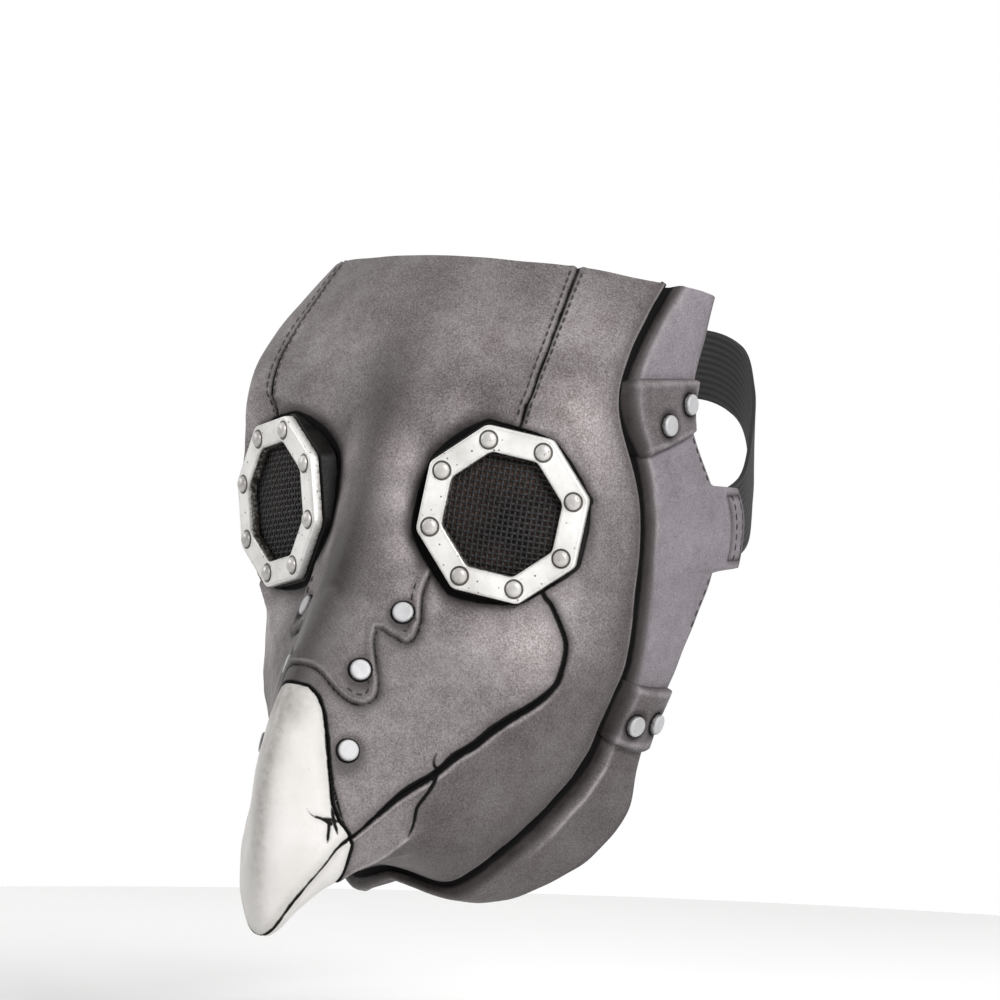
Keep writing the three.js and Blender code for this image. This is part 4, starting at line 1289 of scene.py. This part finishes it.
# Eye frames with domed studs in dark rings, which are dark joint paint and painted shade. The frame's profile
# is radius, height and darkening, which is painted shade on the walls with a little real rubbing.
FRAME_PROFILE = [
    (FRAME_OUTER, -FRAME_THICK, 0.9), (FRAME_OUTER, -1.9, 0.35), (FRAME_OUTER, -0.9, 0.1),
    (30.43, -0.45, 0.15), (30.2, -0.15, 0.1), (29.85, 0.0, 0.3), (29.5, 0.02, 0.1), (28.9, 0.03, 0.0),
    (27.0, 0.05, 0.0), (24.6, 0.05, 0.0), (22.9, 0.03, 0.0), (22.3, 0.02, 0.1), (21.95, 0.0, 0.3),
    (21.6, -0.15, 0.3), (21.37, -0.45, 0.8), (FRAME_INNER, -0.9, 1.0), (FRAME_INNER, -FRAME_THICK, 1.2),
]
FRAME_ROUNDING = 1.5
STUD_PROFILE = [
    (0.01, 1.7), (0.9, 1.65), (1.6, 1.5), (2.15, 1.22), (2.5, 0.85), (2.66, 0.45), (2.7, 0.1), (2.7, -0.6),
    (0.01, -0.6),
]
STUD_RING_PROFILE = [(2.62, 0.0), (2.66, 0.13), (3.1, 0.1), (3.4, 0.06), (3.4, -0.1), (2.62, -0.1)]
STUD_SIDES = 28
# Painted shade at the foot of each stud.
STUD_BASE_SHADE = {"below": 0.3, "amount": 0.6}


def frame_parts():
    ring, ring_quads = octagon_ring([(radius, height) for radius, height, _ in FRAME_PROFILE], FRAME_ROUNDING)
    wear = [np.repeat([value for _, _, value in FRAME_PROFILE], len(ring) // len(FRAME_PROFILE))]
    parts = [(ring, ring_quads, 0)]
    stud_makers = ((STUD_RING_PROFILE, ring_faces, 1), (STUD_PROFILE, capped_faces, 2))
    for corner in octagon_corners(STUD_CIRCLE):
        for profile, faces_of, kind in stud_makers:
            stud = circle_points(profile, STUD_SIDES)
            faces = flipped(faces_of(len(profile), STUD_SIDES))
            parts.append((eye_points(stud[:, :2] + corner, stud[:, 2]), faces, kind))
            wear.append(STUD_BASE_SHADE["amount"] * (stud[:, 2] < STUD_BASE_SHADE["below"]))
    return *joined(parts), {"wear": np.concatenate(wear)}


frame_finishes = [FRAME_SILVER, RING_SILVER, STUD_SILVER]
make_pair("frame_silver", frame_parts(), frame_finishes, "eye_frame", FRAME_CREASE)

# Woven eye nets over a dark backing sheet, bowed a little outward. The backing is painted shade: the dark
# inside of the mask behind the net.
NET = {"pitch": 1.93, "half_width": 0.4, "half_thick": 0.17, "weave": 0.16, "bow": 1.3, "steps": 5}
NET_TURN = math.radians(-7.0)
NET_MIDDLE = SEAT_TOP - 0.35
STRAND_SIDES = 6
BACKING_BEHIND = 0.42
BACKING_THICK = 0.12
BACKING_SHARES = np.linspace(0.02, 1.0, 14)


def net_bow(flat):
    return NET["bow"] * (1.0 - np.square(flat / NET_RADIUS).sum(axis=1))


def net_strand(number, crosswise):
    """One flat strand that weaves over and under the others, cut at the octagon."""
    turn = NET_TURN + (math.pi / 2 if crosswise else 0.0)
    along = np.array([math.cos(turn), math.sin(turn)])
    over = np.array([-along[1], along[0]])
    middle = over * number * NET["pitch"]
    flats = np.stack([np.sin(FLAT_ANGLES), np.cos(FLAT_ANGLES)], 1)
    speeds = flats @ along
    places = (NET_RADIUS * FLAT_SHARE - flats @ middle) / speeds
    start, end = places[speeds < 0.0].max(), places[speeds > 0.0].min()
    if end - start < NET["pitch"]:
        return None
    places = np.linspace(start, end, int((end - start) / NET["pitch"] * NET["steps"]) + 2)
    flat = middle + places[:, None] * along
    phase = math.pi * (places / NET["pitch"] + number + (1 if crosswise else 0) - 0.5)
    heights = NET_MIDDLE + net_bow(flat) + NET["weave"] * np.sin(phase)
    points = []
    for angle in np.arange(STRAND_SIDES) * 2.0 * math.pi / STRAND_SIDES:
        sideways = flat + over * NET["half_width"] * math.cos(angle)
        points.append(eye_points(sideways, heights + NET["half_thick"] * math.sin(angle)))
    return np.stack(points, 1).reshape(-1, 3), capped_faces(len(places), STRAND_SIDES), 0


def shade_backing_part():
    rim = octagon_loop(NET_RADIUS, 1.0, 2, 4)
    rings = []
    for depth, shares in ((BACKING_BEHIND, BACKING_SHARES), (BACKING_BEHIND + BACKING_THICK, BACKING_SHARES[::-1])):
        loops = [rim * share for share in shares]
        rings += [eye_points(loop, NET_MIDDLE + net_bow(loop) - depth) for loop in loops]
    return np.concatenate(rings), flipped(capped_faces(len(rings), len(rim))), 1


def net_parts():
    count = int(NET_RADIUS / NET["pitch"]) + 1
    numbers = range(-count, count + 1)
    strands = [net_strand(number, crosswise) for crosswise in (False, True) for number in numbers]
    return *joined([strand for strand in strands if strand] + [shade_backing_part()]), {}


make_pair("net_woven", net_parts(), [net_fibre(), shade_backing()], "eye_mesh")

# Tabs cast on the band, with a front slope into the groove, painted shade on that slope, along their edges
# and round the rivet seats, and painted highlights on their rolled edges.
TAB_STEPS = 48
TAB_ROUND = 2.2
TAB_SLOPE = 4.6
TAB_LEVEL = BAND_LEVEL + GAP
TAB_PILLOW = 0.45
TAB_CORNER = 0.045
TAB_CORNER_SHARPNESS = 8


def tab_parts(tab):
    places = [place_on_band(BAND_LEVEL, back, up)[0] for back, up in tab["corners"]]
    for place in (places[0], places[2]):
        place[1] -= TAB_SLOPE / band_length(place[:1])[0]
    front_top, rear_top, front_low, rear_low = places
    shares = 0.5 - 0.5 * np.cos(np.linspace(0.0, math.pi, TAB_STEPS + 1))
    low, rear = [grid.ravel() for grid in np.meshgrid(shares, shares, indexing="ij")]
    corner = TAB_CORNER * (np.abs(2.0 * low - 1.0) * np.abs(2.0 * rear - 1.0)) ** TAB_CORNER_SHARPNESS
    low_in = low + (0.5 - low) * corner * 2.0
    rear_in = rear + (0.5 - rear) * corner * 2.0
    top = front_top[:, None] * (1 - rear_in) + rear_top[:, None] * rear_in
    bottom = front_low[:, None] * (1 - rear_in) + rear_low[:, None] * rear_in
    way, width = top * (1 - low_in) + bottom * low_in
    from_front = rear_in * (rear_top[1] - front_top[1]) * band_length(front_top[:1])[0]
    slope = fade(from_front, 0.3, TAB_SLOPE + 0.8)
    floor_lift = groove_lift(way, width)
    under = band_points(way, width, np.minimum(TAB_LEVEL, floor_lift + 0.15))
    tall = np.linalg.norm(under[0] - under[-TAB_STEPS - 1])
    wide = np.linalg.norm(under[0] - under[TAB_STEPS])
    inset = np.minimum(np.minimum(low, 1 - low) * tall, np.minimum(rear, 1 - rear) * wide)
    roll = 1.0 - np.sqrt(np.clip(1.0 - np.square(1.0 - np.minimum(inset / TAB_ROUND, 1.0)), 0.0, 1.0))
    pillow = TAB_PILLOW * smoothstep(inset, 1.0, 7.0)
    dip = np.zeros(len(under))
    # Painted shade: black down the front slope, darker along the edges and round the rivets, with painted
    # highlights on the rolled edges.
    ink = np.minimum(NO_INK, from_front - 1.6)
    wash = np.maximum(0.5 * fade(inset, 0.0, 1.3), 0.95 * fade(from_front, 1.8, 7.5))
    dry = 0.5 * bell(inset - 2.0, 1.0) * (1.0 - slope) + 0.45 * bell(from_front - TAB_SLOPE - 1.2, 1.0)
    for back, up in tab["rivets"].values():
        centre = place_on_band(TAB_LEVEL + TAB_THICK, back, up)[1]
        radius = np.sqrt(np.maximum(distances(under, centre) ** 2 - TAB_THICK ** 2, 0.0))
        pillow *= smoothstep(radius, 3.6, 7.0)
        dip -= 0.3 * bell(radius - RIVET_DISH["radius"], 0.7)
        ink = np.minimum(ink, radius - 4.2)
        wash = np.maximum(wash, 0.8 * fade(radius, 3.8, 7.5))
        dry *= smoothstep(radius, 4.0, 7.0)
    lift = TAB_LEVEL + TAB_THICK * (1.0 - 0.75 * roll) + (pillow + dip) * (1.0 - roll)
    lift += (np.minimum(TAB_LEVEL, floor_lift) + 0.5 - lift) * slope
    points = np.concatenate([band_points(way, width, lift), under])
    rows = np.arange(len(way)).reshape(TAB_STEPS + 1, TAB_STEPS + 1)
    faces = np.concatenate(walled(grid_triangles(rows), len(way))).tolist()
    paints = {"ink": ink, "wash": wash, "dry": dry, "tint": np.zeros(len(under))}
    return points, faces, [0] * len(faces), {name: np.tile(value, 2) for name, value in paints.items()}


for name, tab in TABS.items():
    make_pair(f"{name}_cast", tab_parts(tab), [TAB_LATEX], name)

# Flat rivets with a rolled edge. The profile is radius, height and darkening, which is painted shade down the
# rolled side.
RIVET_PROFILE = [
    (0.01, 1.72, 0.0), (1.4, 1.74, 0.0), (2.4, 1.79, 0.0), (2.8, 1.8, 0.0), (3.1, 1.74, 0.0),
    (3.35, 1.56, 0.1), (3.52, 1.28, 0.35), (3.6, 0.9, 0.75), (3.6, 0.0, 1.0), (0.01, 0.0, 1.0),
]
RIVET_SIDES = 40
RIVET_STANDOFF = -0.2


def rivet_parts(centre, outward):
    disc = circle_points([(radius, height) for radius, height, _ in RIVET_PROFILE], RIVET_SIDES)
    turn = np.array(Vector((0, 0, 1)).rotation_difference(Vector(outward)).to_matrix())
    points = disc @ turn.T + centre + outward * RIVET_STANDOFF
    faces = flipped(capped_faces(len(RIVET_PROFILE), RIVET_SIDES))
    wear = np.repeat([value for _, _, value in RIVET_PROFILE], RIVET_SIDES)
    return points, faces, [0] * len(faces), {"wear": wear}


rivet_seats = {}
for place, (centre, inward) in BEAK_RIVET_PLACES.items():
    rivet_seats[f"beak_rivet_{place}"] = (centre, -inward)
for tab in TABS.values():
    for name, (back, up) in tab["rivets"].items():
        rivet_seats[name] = place_on_band(TAB_LEVEL + TAB_THICK, back, up)[1:]
for name, (centre, outward) in rivet_seats.items():
    make_pair(f"{name}_disc", rivet_parts(centre, outward), [RIVET_SILVER], name)

# Elastic strap, a ribbed ribbon round the back of the head.
STRAP_STEPS = 170
STRAP_FINE_STEPS = 60
STRAP_RIBS = 11
STRAP_RIB_HEIGHT = 0.16
STEPS_PER_RIB = 4


def strap_curve():
    """Centripetal curve through the strap's path and its mirror image, at even spacing."""
    half_path = np.array(STRAP_PATH, float)
    path = np.concatenate([half_path, half_path[-2::-1] * MIRROR])
    path = np.concatenate([[2 * path[0] - path[1]], path, [2 * path[-1] - path[-2]]])
    shares = np.linspace(0.0, 1.0, STRAP_FINE_STEPS, endpoint=False)[:, None]
    fine = []
    for before, start, end, after in zip(path, path[1:], path[2:], path[3:]):
        steps = np.diff([before, start, end, after], axis=0)
        first, here, last = np.sqrt(np.linalg.norm(steps, axis=1))
        leaving = (steps[0] / first - (end - before) / (first + here) + steps[1] / here) * here
        coming = (steps[1] / here - (after - start) / (here + last) + steps[2] / last) * here
        square = (3 * steps[1] - 2 * leaving - coming) * shares ** 2
        fine.append(start + leaving * shares + square + (leaving + coming - 2 * steps[1]) * shares ** 3)
    fine = np.concatenate(fine + [path[-2:-1]])
    lengths = lengths_along(fine)
    places = np.linspace(0.0, lengths[-1], STRAP_STEPS + 1)
    return points_at(places, lengths, fine)


def strap_parts():
    middle = strap_curve()
    along = unit(np.gradient(middle, axis=0))
    outward = unit(np.cross(along, EYE_UP))
    tall = np.cross(outward, along)
    across = STRAP_RIBS * STEPS_PER_RIB + 1
    ribs = 0.5 - 0.5 * np.cos(np.linspace(0.0, 2.0 * math.pi * STRAP_RIBS, across))
    heights = np.linspace(0.5, -0.5, across) * STRAP["width"]
    thick = STRAP["thick"] / 2 - STRAP_RIB_HEIGHT * (1.0 - ribs)
    level = middle[:, None] + tall[:, None] * heights[:, None]
    lift = outward[:, None] * thick[:, None]
    points = np.concatenate([level + lift, level - lift]).reshape(-1, 3)
    rows = np.arange(len(middle) * across).reshape(-1, across)
    faces = np.concatenate(walled(grid_triangles(rows[:, ::-1]), rows.size)).tolist()
    return points, faces, [0] * len(faces), {"rib": np.tile(ribs, 2 * len(middle))}


make_piece("strap_elastic", strap_parts(), [elastic()], ["elastic_strap"])

# Cast stitches beside the seams, on the ear notch and on the ear tab.
STITCH = {"length": 2.4, "radius": 0.44, "spacing": 3.3, "sunk": 0.12, "sides": 8}
STITCH_RINGS = [(-1.0, 0.25), (-0.8, 0.75), (-0.35, 1.0), (0.35, 1.0), (0.8, 0.75), (1.0, 0.25)]
NOSE_STITCHES = {"beside": -2.6, "runs": [(0.2, 0.43), (0.62, 0.84)]}
FOREHEAD_STITCHES = {"beside": 2.0, "run": (0.06, 0.98)}
RIM_STITCHES = [(2.6, 27.0, 11.0), (2.6, -21.5, -40.0), (2.2, 7.0, -17.5), (6.4, 7.0, -17.5)]
shell_used = np.unique(shell_triangles)
shell_points = shell_columns[shell_used, OUTER]
shell_normals = vertex_normals(shell_columns[:, OUTER], shell_triangles)[shell_used]
shell_tree = tree_of(shell_points)


def smooth_normal(point, reach):
    near = [number for _, number, _ in shell_tree.find_range(point, reach)]
    return unit(shell_normals[near].sum(axis=0))


def stitch_part(ends):
    """One stitch between two places near the shell's outer surface."""
    centre = ends.mean(axis=0)
    seat = shell_points[shell_tree.find(centre)[1]]
    normal = smooth_normal(seat, STITCH["length"])
    centre = centre + normal * ((seat - centre) @ normal - STITCH["sunk"])
    direction = unit(ends[1] - ends[0])
    direction = unit(direction - normal * (direction @ normal))
    axes = np.array([np.cross(normal, direction), normal, direction])
    sizes = [(share * STITCH["radius"], place * STITCH["length"] / 2) for place, share in STITCH_RINGS]
    points = centre + circle_points(sizes, STITCH["sides"]) @ axes
    return points, capped_faces(len(STITCH_RINGS), STITCH["sides"]), 0


def stitch_row(path):
    """Stitches at even spacing along a path."""
    lengths = lengths_along(path)
    count = int(lengths[-1] / STITCH["spacing"])
    parts = []
    for number in range(count):
        middle = (number + 0.5) * lengths[-1] / count
        reach = [middle - STITCH["length"] / 2, middle + STITCH["length"] / 2]
        parts.append(stitch_part(points_at(reach, lengths, path)))
    return parts


def path_beside(curve, offset, start, end):
    """Path at a distance beside a curve, between two shares of its length."""
    line = curve["points"]
    chosen = (curve["along"] >= start) & (curve["along"] <= end)
    steps = unit(np.gradient(line, axis=0))
    normals = np.array([smooth_normal(point, 3.0 * abs(offset)) for point in line])
    return (line + np.cross(normals, steps) * offset)[chosen]


def stitch_parts():
    paths = [path_beside(CURVES["nose"], NOSE_STITCHES["beside"], *run) for run in NOSE_STITCHES["runs"]]
    for offset in (-FOREHEAD_STITCHES["beside"], FOREHEAD_STITCHES["beside"]):
        paths.append(path_beside(CURVES["forehead"], offset, *FOREHEAD_STITCHES["run"]))
    paths += [along_rim(*row) for row in RIM_STITCHES]
    return *joined([part for path in paths for part in stitch_row(path)]), {}


make_pair("stitches_cast", stitch_parts(), [thread()])

# Stage in metres: camera at the photograph's angle, soft studio lights and a pale floor.
AZIMUTH = math.radians(38.5)
ELEVATION = math.radians(2.3)
ROLL = math.radians(1.3)
CAMERA_DISTANCE = 2.0
PIXELS_PER_MM = 2.95
IMAGE_WIDTH = 1000
SENSOR = 36.0
AIM_RIGHT = 0.0385
AIM_UP = 0.0027
LIGHT_AIM = Vector((0.0, 0.03, -0.02))
LIGHTS = {
    "key_light": {"azimuth": 66.0, "elevation": 34.0, "distance": 1.3, "size": 0.55, "power": 24.0},
    "far_light": {"azimuth": -65.0, "elevation": 22.0, "distance": 1.4, "size": 0.7, "power": 9.0},
}
ROOM_LIGHT = 0.13
BACKDROP_LIGHT = 1.0
BACKDROP_EDGE = (0.1, 0.8)
BRIGHT_SIDE_UP = 0.5
FLOOR_HEIGHT = -0.21
FLOOR_RADIUS = 0.75
FLOOR_SIDES = 96


def look(azimuth, elevation, roll=0.0):
    """Axes of something that looks back at the mask from a direction: right, up and back."""
    level = math.cos(elevation)
    back = Vector((math.sin(azimuth) * level, -math.cos(azimuth) * level, math.sin(elevation)))
    right = Vector((math.cos(azimuth), math.sin(azimuth), 0.0))
    up = back.cross(right)
    return right * math.cos(roll) + up * math.sin(roll), up * math.cos(roll) - right * math.sin(roll), back


def add_to_scene(name, data, axes, position):
    thing = bpy.data.objects.new(name, data)
    bpy.context.scene.collection.objects.link(thing)
    matrix = Matrix([[*row] for row in zip(*axes)]).to_4x4()
    matrix.translation = position
    thing.matrix_world = matrix
    return thing


camera_data = bpy.data.cameras.new("camera")
camera_data.sensor_width = SENSOR
camera_data.lens = SENSOR * PIXELS_PER_MM * CAMERA_DISTANCE / MM / IMAGE_WIDTH
right, up, back = look(AZIMUTH, ELEVATION, ROLL)
camera_place = right * AIM_RIGHT + up * AIM_UP + back * CAMERA_DISTANCE
bpy.context.scene.camera = add_to_scene("camera", camera_data, (right, up, back), camera_place)

for name, light in LIGHTS.items():
    light_data = bpy.data.lights.new(name, "AREA")
    light_data.energy = light["power"]
    light_data.shape = "DISK"
    light_data.size = light["size"]
    axes = look(math.radians(light["azimuth"]), math.radians(light["elevation"]))
    add_to_scene(name, light_data, axes, axes[2] * light["distance"] + LIGHT_AIM)

# The room is bright behind the mask and dim on the camera's side.
world = bpy.data.worlds.new("studio")
world.use_nodes = True
world_nodes = world.node_tree.nodes
background = world_nodes["Background"]
background.inputs["Color"].default_value = (1.0, 1.0, 1.0, 1.0)
way_out = world_nodes.new("ShaderNodeTexCoord").outputs["Generated"]
facing = world_nodes.new("ShaderNodeVectorMath")
facing.operation = "DOT_PRODUCT"
facing.inputs[1].default_value = (Vector((0.0, 0.0, BRIGHT_SIDE_UP)) - back).normalized()
brightness = world_nodes.new("ShaderNodeMapRange")
brightness.interpolation_type = "SMOOTHSTEP"
brightness_limits = (*BACKDROP_EDGE, ROOM_LIGHT, BACKDROP_LIGHT)
for socket, value in zip(("From Min", "From Max", "To Min", "To Max"), brightness_limits):
    brightness.inputs[socket].default_value = value
world.node_tree.links.new(way_out, facing.inputs[0])
world.node_tree.links.new(facing.outputs["Value"], brightness.inputs["Value"])
world.node_tree.links.new(brightness.outputs["Result"], background.inputs["Strength"])
bpy.context.scene.world = world
bpy.context.scene.view_settings.view_transform = "Standard"


def pale_floor():
    paint = Paint("pale_floor")
    colour = paint.ramp(paint.noise(3.0, 4.0), [(0.3, (0.92, 0.92, 0.915)), (0.7, (0.95, 0.95, 0.945))])
    normal = paint.bump(paint.noise(260.0, 3.0), 0.0004, 0.2)
    return paint.finish(Base_Color=colour, Roughness=0.75, Normal=normal)


floor_mesh = bpy.data.meshes.new("floor")
floor_rim = circle_points([(FLOOR_RADIUS, FLOOR_HEIGHT)], FLOOR_SIDES)
floor_mesh.from_pydata(floor_rim.tolist(), [], [list(range(FLOOR_SIDES))])
floor_mesh.materials.append(pale_floor())
floor = bpy.data.objects.new("floor", floor_mesh)
bpy.context.scene.collection.objects.link(floor)
